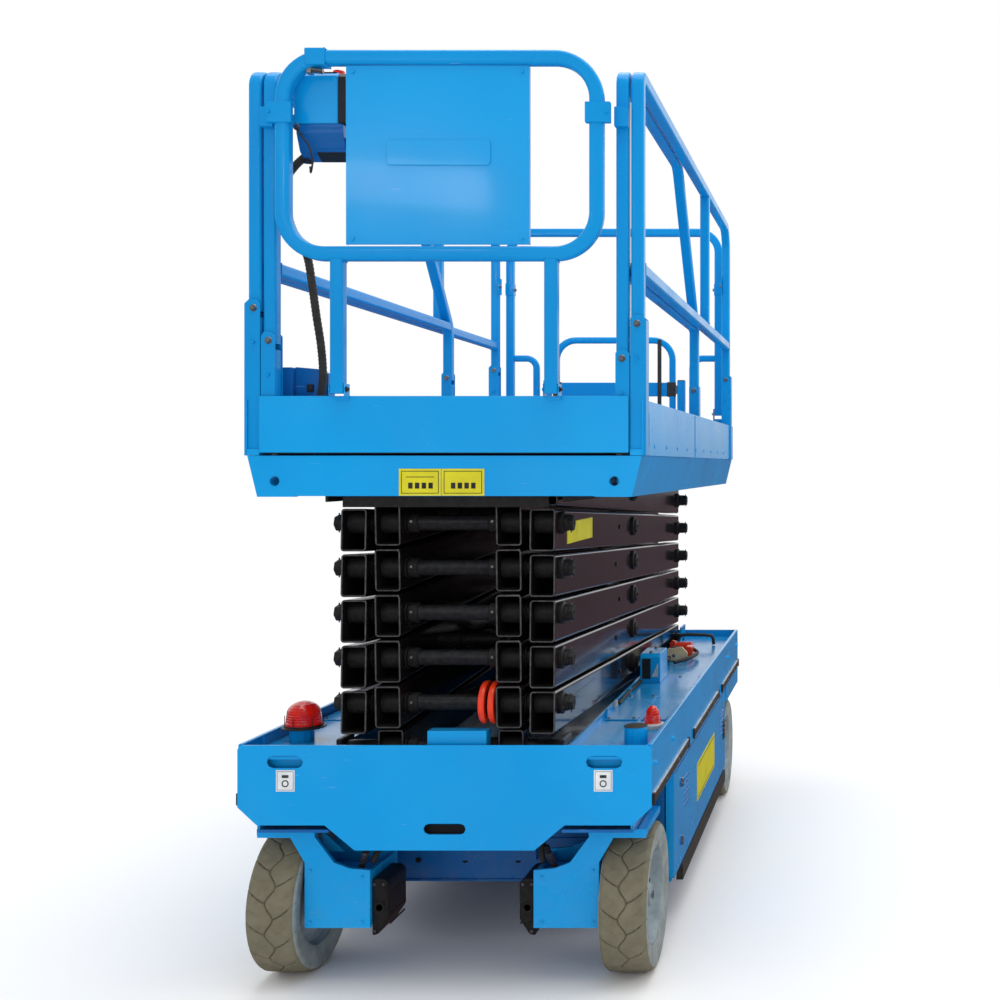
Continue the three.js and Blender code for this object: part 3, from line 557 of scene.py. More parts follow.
def arm_tube(g, lane, y, zl, sign, t0, t1, m):
    """One hollow arm with rounded corners, open ends and paler end edges: bare cut metal, lighter also as a painted
    highlight.
    """
    u = Vector((0, math.cos(TILT) * sign, math.sin(TILT)))
    end = math.sqrt(SPAN ** 2 - 400.0) + t1
    o = Vector((0, y, zl))
    cx = m * (lane[0] + lane[1]) / 2
    a, b = o + u * (-t0), o + u * end
    a.x = b.x = cx
    X = Vector((1, 0, 0))
    outer, inner = rrect(115, 70, 9, 4), rrect(105, 60, 5, 4)
    k = len(outer)
    c1 = 1.0
    verts, faces = [], []

    def put(p, prof, s):
        N = X.cross(u).normalized()
        row = []
        for pu, pv in prof:
            row.append(len(verts))
            verts.append(p + N * (pu * s) + X * (pv * s))
        return row

    rows_out = [put(a, outer, 0.975), put(a + u * 1.5, outer, 1.0), put(b - u * 1.5, outer, 1.0), put(b, outer, 0.975)]
    rows_in = [put(a, inner, 1.01), put(a + u * 2, inner, 1.0), put(b - u * 2, inner, 1.0), put(b, inner, 1.01)]
    for A, B in zip(rows_out, rows_out[1:]):
        for j in range(k):
            faces.append((A[j], A[(j + 1) % k], B[(j + 1) % k], B[j]))
    g.add(verts, faces, "black")
    # end rings and the dark bore share positions with the outer shell
    fe, fi = [], []
    for A, B in ((rows_out[0], rows_in[0]), (rows_out[3], rows_in[3])):
        for j in range(k):
            fe.append((A[j], A[(j + 1) % k], B[(j + 1) % k], B[j]))
    for A, B in zip(rows_in, rows_in[1:]):
        for j in range(k):
            fi.append((A[j], A[(j + 1) % k], B[(j + 1) % k], B[j]))
    o2 = len(g.v) - len(verts)
    for fs, key in ((fe, "edge"), (fi, "inside")):
        kk = g.idx(key)
        g.f += [tuple(i + o2 for i in f) for f in fs]
        g.m += [kk] * len(fs)


def pin_head(g, m, y, zz, x0, big=31.0, end=325.0):
    """Pin head: retaining plate, turned collar and a crowned nut with its cotter."""
    ax = (m, 0, 0)
    L = end - x0
    g.lathe((m * x0, y, zz), ax, [(0, 0), (big, 0), (big, 6), (big - 3, 8.5), (big - 8, 9.5), (big - 8, L - 16), (big - 9.5, L - 13.5), (0, L - 13.5)], 28, "cast")
    g.lathe((m * (x0 + L - 14.5), y, zz), ax, [(0, 0), (big - 9, 0), (big - 8, 1.5), (big - 8, 11), (big - 11, 14.5), (7, 14.5), (6, 12), (0, 12)], 6, "cast", turn=0.3)
    for s in (-1, 1):
        g.bolt((m * (x0 + 7.5), y + s * (big - 6) * 0.9, zz - 11), ax, 4.2, 4.0, "shaft", False)
    g.cyl((m * (end - 8), y, zz - big + 4), (m * (end - 8), y, zz + big - 4), 2.2, "steel", 8)


def mid_head(g, m, y, zz, x0, big=34.0):
    """Middle pivot head: retaining plate and two small bolts."""
    ax = (m, 0, 0)
    g.lathe((m * x0, y, zz), ax, [(0, 0), (big, 0), (big, 5), (big - 3, 7), (big - 9, 7.5), (big - 10, 13), (big - 13, 15), (0, 15)], 28, "cast")
    for s in (-1, 1):
        g.bolt((m * (x0 + 6.5), y + s * 20, zz - 24 * 0.45), ax, 5.0, 5.0, "shaft")
    g.lathe((m * (x0 + 14.5), y, zz), ax, [(0, 0), (5, 0), (4, 4), (0, 4.5)], 12, "shaft")


for k in range(1, 7):
    top = k == 6
    g = Geo("black")
    for m in (1, -1):
        arm_tube(g, OUTER, PIN_FAR, z(k - 1), -1, 60, 30 if top else 60, m)
        # bosses welded through the tube at its three pins
        for yy, zz in ((PIN_FAR, z(k - 1)), (PIN_NEAR, z(k))):
            g.lathe((m * 216.5, yy, zz), (m, 0, 0), [(23.5, 0), (30, 0), (30, 74.5), (23.5, 74.5)], 24, "cast", closed=True)
        g.lathe((m * 216.5, 0, z(k - 1) + PITCH / 2), (m, 0, 0), [(23.5, 0), (33, 0), (33, 74.5), (23.5, 74.5)], 24, "cast", closed=True)
        # grease nipple and hose clip on the outside
        g.cyl((m * 289, -300 + 60 * (k % 2), z(k - 1) + 70), (m * 292.5, -300 + 60 * (k % 2), z(k - 1) + 70), 8, "cast", 12)
        if not top:
            pin_head(g, m, PIN_NEAR, z(k), 291.5, 31, 326)
    if not top:
        g.cyl((-290, PIN_NEAR, z(k)), (290, PIN_NEAR, z(k)), 21, "shaft", 32)
        for m in (1, -1):
            g.cyl((m * 96, PIN_NEAR, z(k)), (m * 124, PIN_NEAR, z(k)), 27, "cast", 28, 3)
            g.bolt((m * 110, PIN_NEAR - 26, z(k) + 4), (0, -1, 0.15), 4.5, 4, "steel", False)
    else:
        g.cyl((-222, D(150), z(k) + 8), (222, D(150), z(k) + 8), 14, "shaft", 20)
    g.build(f"visual_outer_arm_{k}", f"outer_arms_{k}", f"outer_arm_{k}", "black_paint")

    g = Geo("black")
    for m in (1, -1):
        arm_tube(g, INNER, PIN_NEAR, z(k - 1), 1, 36 if k == 1 else 60, 30 if top else 60, m)
        for yy, zz in ((PIN_NEAR, z(k - 1)), (PIN_FAR, z(k))):
            g.lathe((m * 125, yy, zz), (m, 0, 0), [(23.5, 0), (29.5, 0), (29.5, 75.5), (23.5, 75.5)], 24, "cast", closed=True)
        g.cyl((m * 126, 0, z(k - 1) + PITCH / 2), (m * 216, 0, z(k - 1) + PITCH / 2), 33, "cast", 28, 2)
        g.cyl((m * 214, 0, z(k - 1) + PITCH / 2), (m * 292, 0, z(k - 1) + PITCH / 2), 21, "shaft", 28)
        mid_head(g, m, 0, z(k - 1) + PITCH / 2, 291.5, 34)
        if not top:
            g.cyl((m * 60, PIN_FAR, z(k)), (m * 291, PIN_FAR, z(k)), 21, "shaft", 28)
            pin_head(g, m, PIN_FAR, z(k), 291.5, 31, 336)
    if not top:
        g.cyl((-62, PIN_FAR, z(k)), (62, PIN_FAR, z(k)), 21, "shaft", 28)
    eye = lambda f: (PIN_NEAR + (PIN_FAR - PIN_NEAR) * f, z(k - 1) + PITCH * f)
    for f, ks in ((0.932, (1, 4)), (0.116, (3, 6)), (0.8, (2, 5))):
        if k in ks:
            y, zz = eye(f)
            g.cyl((-130, y, zz), (130, y, zz), 19, "shaft", 24)
            if f != 0.8:
                for m in (1, -1):
                    g.lathe((m * 60, y, zz), (m, 0, 0), [(19, 0), (27, 0), (27, 8), (19, 8)], 20, "cast", closed=True)
    g.build(f"visual_inner_arm_{k}", f"inner_arms_{k}", f"inner_arm_{k}", "black_paint")

# cylinders
for name, k in (("lower", 1), ("upper", 4)):
    lo = Vector((0, PIN_NEAR + (PIN_FAR - PIN_NEAR) * 0.932, z(k - 1) + PITCH * 0.932))
    hi = Vector((0, PIN_NEAR + (PIN_FAR - PIN_NEAR) * 0.116, z(k + 1) + PITCH * 0.116))
    a = (hi - lo).normalized()
    L = (hi - lo).length
    up = Vector((0, -a.z, a.y))
    g = Geo("black")
    g.lathe(lo + a * 30, a, [(0, 0), (40, 0), (44, 5), (44, 1050), (43, 1054), (47, 1058), (50, 1064), (50, 1160), (46, 1178), (34, 1180), (29, 1180), (29, 1120), (0, 1120)], 40, "black")
    g.lathe(lo + a * 1180, a, [(50, 0), (51.5, 2), (51.5, 12), (50, 14), (30, 14), (30, 0)], 40, "steel", closed=True)
    for s in (120, 1130):
        p = lo + a * s
        g.cyl(p + Vector((30, 0, 0)), p + Vector((58, 0, 0)), 14, "cast", 16)
        g.cyl(p + Vector((56, 0, 0)), p + Vector((68, 0, 0)), 9, "steel", 6)
    g.hose([lo + a * 120 + Vector((66, 0, 0)), lo + a * 200 + Vector((74, 0, -2)), lo + a * 620 + Vector((62, 0, 0)), lo + a * 1050 + Vector((74, 0, 2)), lo + a * 1130 + Vector((66, 0, 0))], 7)
    for s in (330, 660, 940):
        g.lathe(lo + a * s, a, [(44, 0), (47, 0), (47, 22), (44, 22)], 40, "steel", closed=True)
    g.build(f"visual_{name}_cylinder_barrel", f"{name}_barrel", f"{name}_cylinder_barrel", "black_paint")
    g = Geo("chrome")
    g.lathe(lo + a * 540, a, [(0, 0), (24, 0), (27, 4), (27, L - 60 - 540 - 56), (24, L - 60 - 540 - 54), (0, L - 60 - 540 - 54)], 36, "chrome")
    g.lathe(lo + a * (L - 114), a, [(0, 0), (30, 0), (33, 3), (33, 44), (28, 52), (0, 54)], 28, "cast")
    g.build(f"visual_{name}_cylinder_rod", f"{name}_rod", f"{name}_cylinder_rod", "hard_chrome")

# pivots and sliding shafts
for nm, body, yy, zz, half in (("base_pivot_shaft", "chassis", PIN_FAR, z(0), 321), ("platform_pivot_shaft", "platform", PIN_FAR, z(6), 334)):
    g = Geo("shaft")
    g.cyl((-half, yy, zz), (half, yy, zz), 21, "shaft", 36, 2)
    for m in (1, -1):
        g.lathe((m * (half - 1), yy, zz), (m, 0, 0), [(0, 0), (12, 0), (12, 3), (0, 3.5)], 20, "steel")
    g.build(f"visual_{nm}", body, nm, "steel")
for nm, body, zz in (("base_slide_shaft", "base_slide", z(0)), ("platform_slide_shaft", "platform_slide", z(6))):
    g = Geo("shaft")
    g.cyl((-300, PIN_NEAR, zz), (300, PIN_NEAR, zz), 21, "shaft", 36, 2)
    for m in (1, -1):
        g.rbox(m * 293, m * 309, PIN_NEAR - 45, PIN_NEAR + 45, zz - 32, zz + 32, 5, "plastic", 3)
        g.cyl((m * 96, PIN_NEAR, zz), (m * 124, PIN_NEAR, zz), 27, "cast", 28, 3)
        g.bolt((m * 110, PIN_NEAR - 26, zz + 4), (0, -1, 0.15), 4.5, 4, "steel", False)
    g.build(f"visual_{nm}", body, nm, "steel")

# two orange clamps round the lowest near shaft, open below the middle
g = Geo("orange")
for x in (78, 104):
    for a0, a1 in ((-62, 118), (150, 240)):
        row = []
        n = 22
        verts, faces = [], []
        for i in range(n + 1):
            a = math.radians(a0 + (a1 - a0) * i / n)
            for r, dx in ((40, 0), (56, 0), (59, 4), (59, 12), (56, 16), (40, 16)):
                verts.append((x + dx, PIN_NEAR - r * math.cos(a), z(1) + r * math.sin(a)))
        for i in range(n):
            for j in range(6):
                faces.append((i * 6 + j, i * 6 + (j + 1) % 6, (i + 1) * 6 + (j + 1) % 6, (i + 1) * 6 + j))
        faces += [tuple(range(6)), tuple(range(n * 6, n * 6 + 6))]
        g.add(verts, faces, "orange")
    g.lathe((x + 4, PIN_NEAR, z(1)), (1, 0, 0), [(20, 0), (41, 0), (41, 8), (20, 8)], 28, "cast", closed=True)
g.build("hose_clamps", "outer_arms_1")

# hoses down the near side of the stack, one run per arm pair so that each turns with its arm
for k in range(1, 6):
    g = Geo("rubber")
    for j, x in enumerate((-40, -18, 6, 30)):
        y0, z0 = PIN_NEAR + 120, z(k) - 8
        g.hose([(x, y0, z0), (x + 4, y0 + 300, z0 - 17), (x - 3, y0 + 700, z0 - 40), (x, y0 + 1020, z0 - 58)], 8, n=8, per=5)
    g.rbox(-56, 46, PIN_NEAR + 500, PIN_NEAR + 530, z(k) - 48, z(k) - 22, 4, "plastic")
    g.build(f"hose_run_{k}", f"outer_arms_{k}")

# pale reflective label on the uppermost outer arm, blank
g = Geo("yellow")
u = Vector((0, -math.cos(TILT), math.sin(TILT)))
g.rbox(289.3, 290.4, D(162), D(485), 1198, 1259, 0.3, "yellow", 1)
g.build("arm_label", "outer_arms_6")

# ------------------------------------------------------------------ rails
SQ = rrect(35, 35, 7.5, 4)
SQ38 = rrect(38, 38, 10, 4)
SQ28 = rrect(28, 28, 8, 4)
RAIL_TOP, RAIL_MID = 2466, 1947
POST_Y, MAIN_FAR_Y, MAIN_MID_Y = D(29), D(2205), D(1460)
EXT_REAR_Y, EXT_BEND_Y = D(1455), D(1010)
HINGE = {"mainL": 1839, "mainR": 1797, "extL": 1752, "extR": 1704}
MAIN_X, EXT_X = 512.5, 472.5


def weld(g, p, w=18, h=18):
    """Small weld bead round a joint."""
    g.rbox(p[0] - w, p[0] + w, p[1] - w, p[1] + w, p[2] - 3, p[2] + 3, 2.5, "blue_rail")


for m, side in ((1, "right"), (-1, "left")):
    h = HINGE["mainR" if m > 0 else "mainL"]
    X = m * MAIN_X
    g = Geo("blue_rail")
    g.sweep([(X, POST_Y, h - 8), (X, POST_Y, RAIL_TOP), (X, MAIN_FAR_Y, RAIL_TOP), (X, MAIN_FAR_Y, h - 8)], SQ, [30, 90], (1, 0, 0), 10)
    g.sweep([(X, POST_Y + 16, RAIL_MID), (X, MAIN_FAR_Y - 16, RAIL_MID)], SQ, 0, (1, 0, 0))
    g.sweep([(X, MAIN_MID_Y, RAIL_MID + 16), (X, MAIN_MID_Y, RAIL_TOP - 16)], SQ, 0, (1, 0, 0))
    # latch plates and welds
    for yy in (POST_Y + 18, MAIN_FAR_Y - 18):
        g.rbox(X - 18.6, X + 18.6, yy - 2, yy + 2, RAIL_MID - 19, RAIL_MID + 19, 1.8, "blue_rail")
    for zz in (RAIL_MID + 18, RAIL_TOP - 18):
        g.rbox(X - 18.6, X + 18.6, MAIN_MID_Y - 19, MAIN_MID_Y + 19, zz - 2, zz + 2, 1.8, "blue_rail")
    g.rbox(X - m * 19, X - m * 16, MAIN_FAR_Y - 30, MAIN_FAR_Y + 30, 2178, 2250, 2, "blue_rail")
    g.bolt((X - m * 19, MAIN_FAR_Y, 2214), (-m, 0, 0), 7, 6)
    g.build(f"visual_main_rail_{side}", f"main_rail_{side}", f"main_rail_{side}", "blue_paint")

    h = HINGE["extR" if m > 0 else "extL"]
    X = m * EXT_X
    g = Geo("blue_rail")
    g.sweep([(X, POST_Y, h - 8), (X, POST_Y, RAIL_TOP), (X, EXT_BEND_Y, RAIL_TOP), (X, EXT_REAR_Y, RAIL_MID), (X, EXT_REAR_Y, h - 8)], SQ, [30, 88, 88], (1, 0, 0), 8)
    g.sweep([(X, POST_Y + 16, RAIL_MID), (X, EXT_REAR_Y - 16, RAIL_MID)], SQ, 0, (1, 0, 0))
    for yy in (POST_Y + 18, EXT_REAR_Y - 18):
        g.rbox(X - 18.6, X + 18.6, yy - 2, yy + 2, RAIL_MID - 19, RAIL_MID + 19, 1.8, "blue_rail")
    # clamp the front loop drops into
    g.rbox(m * 454, m * 490.2, D(-10), D(14), 2320, 2374, 3.5, "blue_rail")
    g.build(f"visual_extension_rail_{side}", f"extension_rail_{side}", f"extension_rail_{side}", "blue_paint")


def channel_post(g, m, x, y, low, hinge, deep=0.0, web=20.4):
    """Lower post: square tube stub inside a folded channel open towards the middle, with the hinge bolt."""
    g.sweep([(m * x, y, low), (m * x, y, hinge - 24)], SQ, 0, (1, 0, 0), mat="blue_rail")
    top = hinge + 24
    for s in (-1, 1):
        ya, yb = y + s * 19.2, y + s * 23.2
        g.prism("y", [(m * (x - 17.6), low + deep), (m * (x + web), low + deep), (m * (x + web), top - 12), (m * (x + 12), top), (m * (x - 10), top), (m * (x - 17.6), top - 10)],
                min(ya, yb), max(ya, yb), 0.9, "blue_rail")
    g.rbox(m * (x + web - 2.4), m * (x + web), y - 22.8, y + 22.8, low + deep, top - 13, 1.0, "blue_rail")
    # hinge pin right through the cheeks, with bolt heads
    for s in (-1, 1):
        g.bolt((m * x, y + s * 23.2, hinge), (0, s, 0), 6.5, 5.5, "steel")
        g.bolt((m * x, y + s * 23.2, hinge - 92), (0, s, 0), 4.5, 3.5, "blue_rail", False)


DECK_Z = 1444
for m, side in ((1, "right"), (-1, "left")):
    h = HINGE["mainR" if m > 0 else "mainL"]
    g = Geo("blue")
    # side sheet with a rolled top edge
    g.dbox(m * 527, m * 531, 0, 2320, DECK_Z + 0.4, 1594, 0.8, "blue")
    g.dbox(m * 519, m * 530.6, 56, 2170, 1588, 1594, 1.8, "blue")
    g.dbox(m * 494.5, m * 530.5, 0, 56, DECK_Z + 0.4, 1462, 2, "blue")
    g.dbox(m * 494.5, m * 530.5, 2170, 2240, DECK_Z + 0.4, 1462, 2, "blue")
    for yy in (POST_Y, MAIN_FAR_Y):
        channel_post(g, m, MAIN_X, yy, DECK_Z + 0.4, h, web=24.5)
    # small tie plate near the front corner, and rivets along the sheet
    g.dbox(m * 531, m * 534.5, 74, 96, 1472, 1560, 1.5, "blue")
    for d in range(180, 2160, 220):
        g.cyl((m * 531, D(d), 1470), (m * 533, D(d), 1470), 5, "blue", 12)
    g.build(f"visual_toe_board_{side}", "platform", f"toe_board_{side}", "blue_paint")

# roll-out deck
g = Geo("blue")
g.dbox(-490, 490, 4, 1495, 1452, 1458, 1.2, "tread")
g.dbox(-492, 492, -6, -1.5, 1452, 1603, 1.0, "blue")
g.dbox(-492, 492, -4, 2.2, 1599, 1603, 1.2, "blue")
for m in (1, -1):
    g.dbox(m * 488, m * 492, -5.5, 1495, 1452, 1594, 0.9, "blue")
    g.dbox(m * 480, m * 491.5, 60, 1420, 1589, 1594, 1.6, "blue")
    g.dbox(m * 455, m * 470, 20, 1475, 1445, 1453, 1, "steel")
    h = HINGE["extR" if m > 0 else "extL"]
    for yy in (POST_Y, EXT_REAR_Y):
        channel_post(g, m, EXT_X, yy, 1456, h)
    X = 294 if m > 0 else -270
    for s in (1, -1):
        g.dbox(X + s * 18.6, X + s * 20.8, -42, -6.2, 1600, 1634, 0.9, "blue")
    g.dbox(X - 20.5, X + 20.5, -12, -6.2, 1592, 1602, 1.2, "blue")
    g.bolt((X + 20.8, D(-30), 1619), (1, 0, 0), 5.5, 6, "ink")
    g.bolt((X - 20.8, D(-30), 1619), (-1, 0, 0), 5, 3, "blue")
for d in (1380, 1485):
    g.dbox(-486, 486, d, d + 3, 1458, 1461, 1, "tread")
g.build("visual_extension_deck", "extension", "extension_deck", "blue_paint")

# black rubbing strip between the two decks, seen as a dark line from the front
g = Geo("rubber")
g.dbox(-489, 489, 12, 22, 1449.5, 1451.8, 0.8, "rubber")
for m in (1, -1):
    g.dbox(m * 474, m * 486, 30, 1400, 1447.5, 1451.8, 0.8, "rubber")
g.build("deck_slide_strips", "extension")

# front loop
LOOP_Y, LOOP_HALF, LOOP_TOP, LOOP_LOW = D(-30), 414, 2494, 1977
g = Geo("blue_rail")
g.sweep([(LOOP_HALF, LOOP_Y, LOOP_TOP), (LOOP_HALF, LOOP_Y, LOOP_LOW), (-LOOP_HALF, LOOP_Y, LOOP_LOW), (-LOOP_HALF, LOOP_Y, LOOP_TOP)], SQ38, 110, (0, 1, 0), 14, closed=True)
for m in (1, -1):
    leg = 294 if m > 0 else -270
    g.sweep([(leg, LOOP_Y, 1608), (leg, LOOP_Y, LOOP_LOW - 15)], SQ, 0, (0, 1, 0))
    g.rbox(leg - 19, leg + 19, LOOP_Y - 17, LOOP_Y + 17, LOOP_LOW - 22, LOOP_LOW - 18, 2, "blue_rail")
    # clamp lug that hooks on the rail posts: face plate with a short return
    g.dbox(m * 386, m * 452.5, -53, -48.4, 2320, 2374, 1.4, "blue_rail")
    g.dbox(m * 386, m * 452.5, -50, -34, 2370, 2374, 1.2, "blue_rail")
    g.dbox(m * 386, m * 452.5, -50, -34, 2320, 2324, 1.2, "blue_rail")
    g.dbox(m * 437, m * 452.5, -52, -34, 2321, 2373, 1.2, "blue_rail")
    g.bolt((m * 444, D(-53), 2347), (0, -1, 0), 4.5, 3.5, "blue_rail", False)
# square sleeve on the upper left, with its welded lip
g.rbox(-352, -297, LOOP_Y - 21.4, LOOP_Y + 21.4, 2471.5, 2516.5, 3.5, "blue_rail", 3)
g.rbox(-302, -297, LOOP_Y - 21.9, LOOP_Y + 21.9, 2471, 2517, 2, "blue_rail")
g.cyl((-340, LOOP_Y, 2464), (-310, LOOP_Y, 2460), 8, "steel", 16)
g.rbox(-352, -338, LOOP_Y - 10, LOOP_Y + 10, 2452, 2474, 2, "steel")
g.build("visual_front_loop", "extension", "front_loop", "blue_paint")

g = Geo("blue")
# sheet on the loop with folded edges and a raised blank plate
g.dbox(-247, 237, -38, -35.5, 2000, 2473, 1.0, "blue", 2)
for x0, x1 in ((-247, -244.5), (234.5, 237)):
    g.dbox(x0, x1, -37, -24, 2001, 2472, 1.0, "blue")
g.prism("y", [(x - 1.5, zz) for x, zz in [(-137.5, 2217), (-131, 2209), (131, 2209), (137.5, 2217), (137.5, 2270), (131, 2278), (-131, 2278), (-137.5, 2270)]], D(-41.4), D(-37.6), 1.8, "blue", 3)
for x in (-228, 218):
    for zz in (2016, 2456):
        g.bolt((x, D(-38), zz), (0, -1, 0), 4.5, 2.5, "blue", False)
g.build("visual_front_panel", "extension", "front_panel", "blue_paint")

# rear frame, rear rail and gate
REAR_Y, REAR_X, REAR_H = D(2290), 470, 1650
g = Geo("blue")
g.dbox(-526, 526, 2314, 2319.6, DECK_Z + 0.4, 1462, 1, "blue")
for m in (1, -1):
    g.dbox(m * 320, m * 526, 2314, 2319.6, DECK_Z + 0.4, 1594, 1, "blue")
    g.dbox(m * 320, m * 526, 2304, 2319, 1589, 1594, 1.6, "blue")
    g.dbox(m * 285, m * 490, 2270, 2319, DECK_Z + 0.4, 1452, 1.2, "blue")
    g.sweep([(m * 302, REAR_Y, DECK_Z + 0.4), (m * 302, REAR_Y, 1798)], SQ, 0, (1, 0, 0))
    g.rbox(m * 302 - 16, m * 302 + 16, REAR_Y - 16, REAR_Y + 16, 1797, 1802, 2.2, "plastic")
    g.sweep([(m * REAR_X, REAR_Y, DECK_Z + 0.4), (m * REAR_X, REAR_Y, REAR_H - 24)], SQ, 0, (1, 0, 0))
    for s in (1, -1):
        xa = m * REAR_X + s * 19.2
        g.prism("x", [(REAR_Y - 18, 1520), (REAR_Y + 18, 1520), (REAR_Y + 18, 1664), (REAR_Y + 9, 1673), (REAR_Y - 9, 1673), (REAR_Y - 18, 1664)], min(xa, xa + s * 4), max(xa, xa + s * 4), 1, "blue_rail")
        g.bolt((m * REAR_X + s * 23.2, REAR_Y, REAR_H), (s, 0, 0), 6.5, 5.5)
    g.rbox(m * REAR_X - 22, m * REAR_X + 22, REAR_Y + 15.2, REAR_Y + 18.4, 1520, 1600, 1.2, "blue_rail")
# gate hinges on the left post, latch keeper on the right
for zz in (1560, 1760):
    g.cyl((-280, REAR_Y, zz - 18), (-280, REAR_Y, zz + 18), 7, "steel", 16)
g.rbox(277, 285, REAR_Y - 14, REAR_Y + 14, 1740, 1778, 1.5, "steel")
g.build("visual_rear_frame", "platform", "rear_frame", "blue_paint")

g = Geo("blue_rail")
g.sweep([(-REAR_X, REAR_Y, REAR_H - 8), (-REAR_X, REAR_Y, RAIL_TOP + 2), (REAR_X, REAR_Y, RAIL_TOP + 2), (REAR_X, REAR_Y, REAR_H - 8)], SQ, 90, (0, 1, 0), 10)
for m in (1, -1):
    g.sweep([(m * (REAR_X - 16), REAR_Y, 1900), (m * 352, REAR_Y, 1900), (m * 352, REAR_Y, 1700)], SQ28, 45, (0, 1, 0), 8)
    g.rbox(m * 352 - 11, m * 352 + 11, REAR_Y - 11, REAR_Y + 11, 1698, 1702, 2, "plastic")
    g.rbox(m * REAR_X - 19, m * REAR_X + 19, REAR_Y - 19, REAR_Y + 19, 2183, 2237, 2.5, "blue_rail")
    g.bolt((m * (REAR_X - 19), REAR_Y, 2210), (-m, 0, 0), 7, 6)
g.build("visual_rear_rail", "rear_rail", "rear_rail", "blue_paint")

g = Geo("blue_rail")
g.sweep([(-262, REAR_Y, 1472), (-262, REAR_Y, 1982), (262, REAR_Y, 1982), (262, REAR_Y, 1472)], SQ28, 88, (0, 1, 0), 10)
g.rbox(-250, 250, REAR_Y - 11.5, REAR_Y + 11.5, 1729, 1791, 3, "blue_rail", 3)
g.rbox(-250, 250, REAR_Y - 3, REAR_Y + 3, 1473, 1590, 1.2, "blue")
for m in (1, -1):
    g.rbox(m * 238, m * 276, REAR_Y - 14.5, REAR_Y + 14.5, 1727, 1793, 2.5, "rubber")
g.rbox(196, 214, REAR_Y - 16, REAR_Y - 10, 1480, 1985, 2, "rubber")
g.rbox(190, 262, REAR_Y + 11, REAR_Y + 17, 1746, 1776, 2, "steel")
g.cyl((226, REAR_Y + 16, 1761), (226, REAR_Y + 30, 1761), 9, "plastic", 20)
g.build("visual_gate", "gate", "gate", "blue_paint")

# ------------------------------------------------------------------ upper controls
g = Geo("blue")
g.prism("x", [(D(4), 2331), (D(4), 2458), (D(14), 2470), (D(98), 2470), (D(108), 2460), (D(108), 2331)], -404, -286, 3.5, "blue", 3)
g.prism("x", [(D(5), 2332), (D(5), 2456), (D(15), 2468), (D(97), 2468), (D(107), 2458), (D(107), 2332)], -286.5, -266, 3, "plastic", 3)
for i in range(6):
    g.dbox(-267, -265.2, 24, 90, 2346 + i * 17, 2352 + i * 17, 0.8, "rubber")
# the cover under the box and its inner fold are darker blue: painted shade
g.prism("x", [(D(5), 2330.5), (D(5), 2306), (D(26), 2262), (D(60), 2240), (D(108), 2330.5)], -398, -272, 2.5, "blue_painted_shade", 2)
g.prism("x", [(D(3), 2331), (D(3), 2322), (D(20), 2270), (D(27), 2263), (D(12), 2331)], -360, -276, 1.6, "blue_painted_shade", 2)
g.prism("x", [(D(14), 2296), (D(30), 2256), (D(60), 2240), (D(80), 2278)], -352, -264.5, 2, "plastic", 2)
g.dbox(-489, -403, 47.5, 53, 2334, 2368, 1.4, "blue")
g.bolt((-396, D(4), 2322), (0, -1, 0), 6, 5)
g.bolt((-440, D(47.5), 2351), (0, -1, 0), 6, 5)
# top plate: bezel, blank status window, two switches
g.dbox(-396, -292, 12, 100, 2469, 2472, 1.2, "plastic")
g.dbox(-330, -300, 76, 94, 2471, 2474, 0.8, "ink")
for x in (-388, -334):
    g.cyl((x, D(86), 2471), (x, D(86), 2477), 6, "steel", 16)
    g.cyl((x, D(86), 2476), (x, D(82), 2490), 2.6, "steel", 12)
g.lathe((-360, D(56), 2471), (0, 0, 1), [(8.5, 0), (19, 0), (18, 3), (15, 5), (8.5, 5)], 28, "rubber", closed=True)
g.lathe((-306, D(60), 2471), (0, 0, 1), [(7, 0), (21, 0), (21, 2.5), (19, 3.5), (7, 3.5)], 32, "yellow", closed=True)
g.build("visual_control_box", "extension_rail_left", "control_box", "blue_paint")

g = Geo("plastic")
g.lathe((-360, D(56), 2474), (0, 0, 1), [(0, 0), (8, 0), (6.2, 4), (4.6, 8), (4.8, 14), (7.5, 19), (8, 26), (7.4, 31), (4, 34), (0, 34.3)], 28, "plastic")
g.build("visual_joystick", "joystick", "joystick", "black_plastic")
# the stop button's cap takes the orange lens material, whose faint emission makes it glow: painted light
g = Geo("lens_o")
g.lathe((-306, D(60), 2464), (0, 0, 1), [(0, 0), (5, 0), (5, 13), (0, 13)], 20, "steel")
g.lathe((-306, D(60), 2476), (0, 0, 1), [(0, 0), (13, 0), (16, 4), (16, 9), (14.6, 12.4), (11, 14), (0, 14.4)], 32, "lens_o")
g.build("visual_emergency_stop", "emergency_stop", "emergency_stop", "lens")

# ribbed cable from the control box down to the roll-out deck
g = Geo("rubber")
g.hose([(-392, D(60), 2262), (-420, D(44), 2225), (-434, D(20), 2180), (-426, D(6), 2120), (-410, D(4), 2058), (-386, D(4), 2010), (-368, D(8), 1972), (-361, D(20), 1900), (-359, D(40), 1824), (-359, D(70), 1740), (-361, D(86), 1665), (-370, D(92), 1600), (-382, D(98), 1530), (-394, D(102), 1478), (-400, D(108), 1463)],
       11, "rubber", 14, 14, 0.11)
g.build("control_cable", None, blend=("extension_rail_left", "extension", (-0.360, D(30) * 0.001, 1.86), (-0.366, D(90) * 0.001, 1.62)))
g = Geo("plastic")
g.hose([(-398, D(2), 2318), (-378, D(-6), 2296), (-356, D(-6), 2262), (-352, D(0), 2226), (-364, D(18), 2204), (-380, D(50), 2226)], 2.6, n=8)
g.build("control_lead", "extension_rail_left")
g = Geo("plastic")
g.lathe((-392, D(60), 2240), (0, 0, 1), [(11.5, 0), (16, 0), (16, 8), (14, 10), (14, 22), (11.5, 22)], 20, "plastic", closed=True)
g.build("cable_gland", "extension_rail_left")
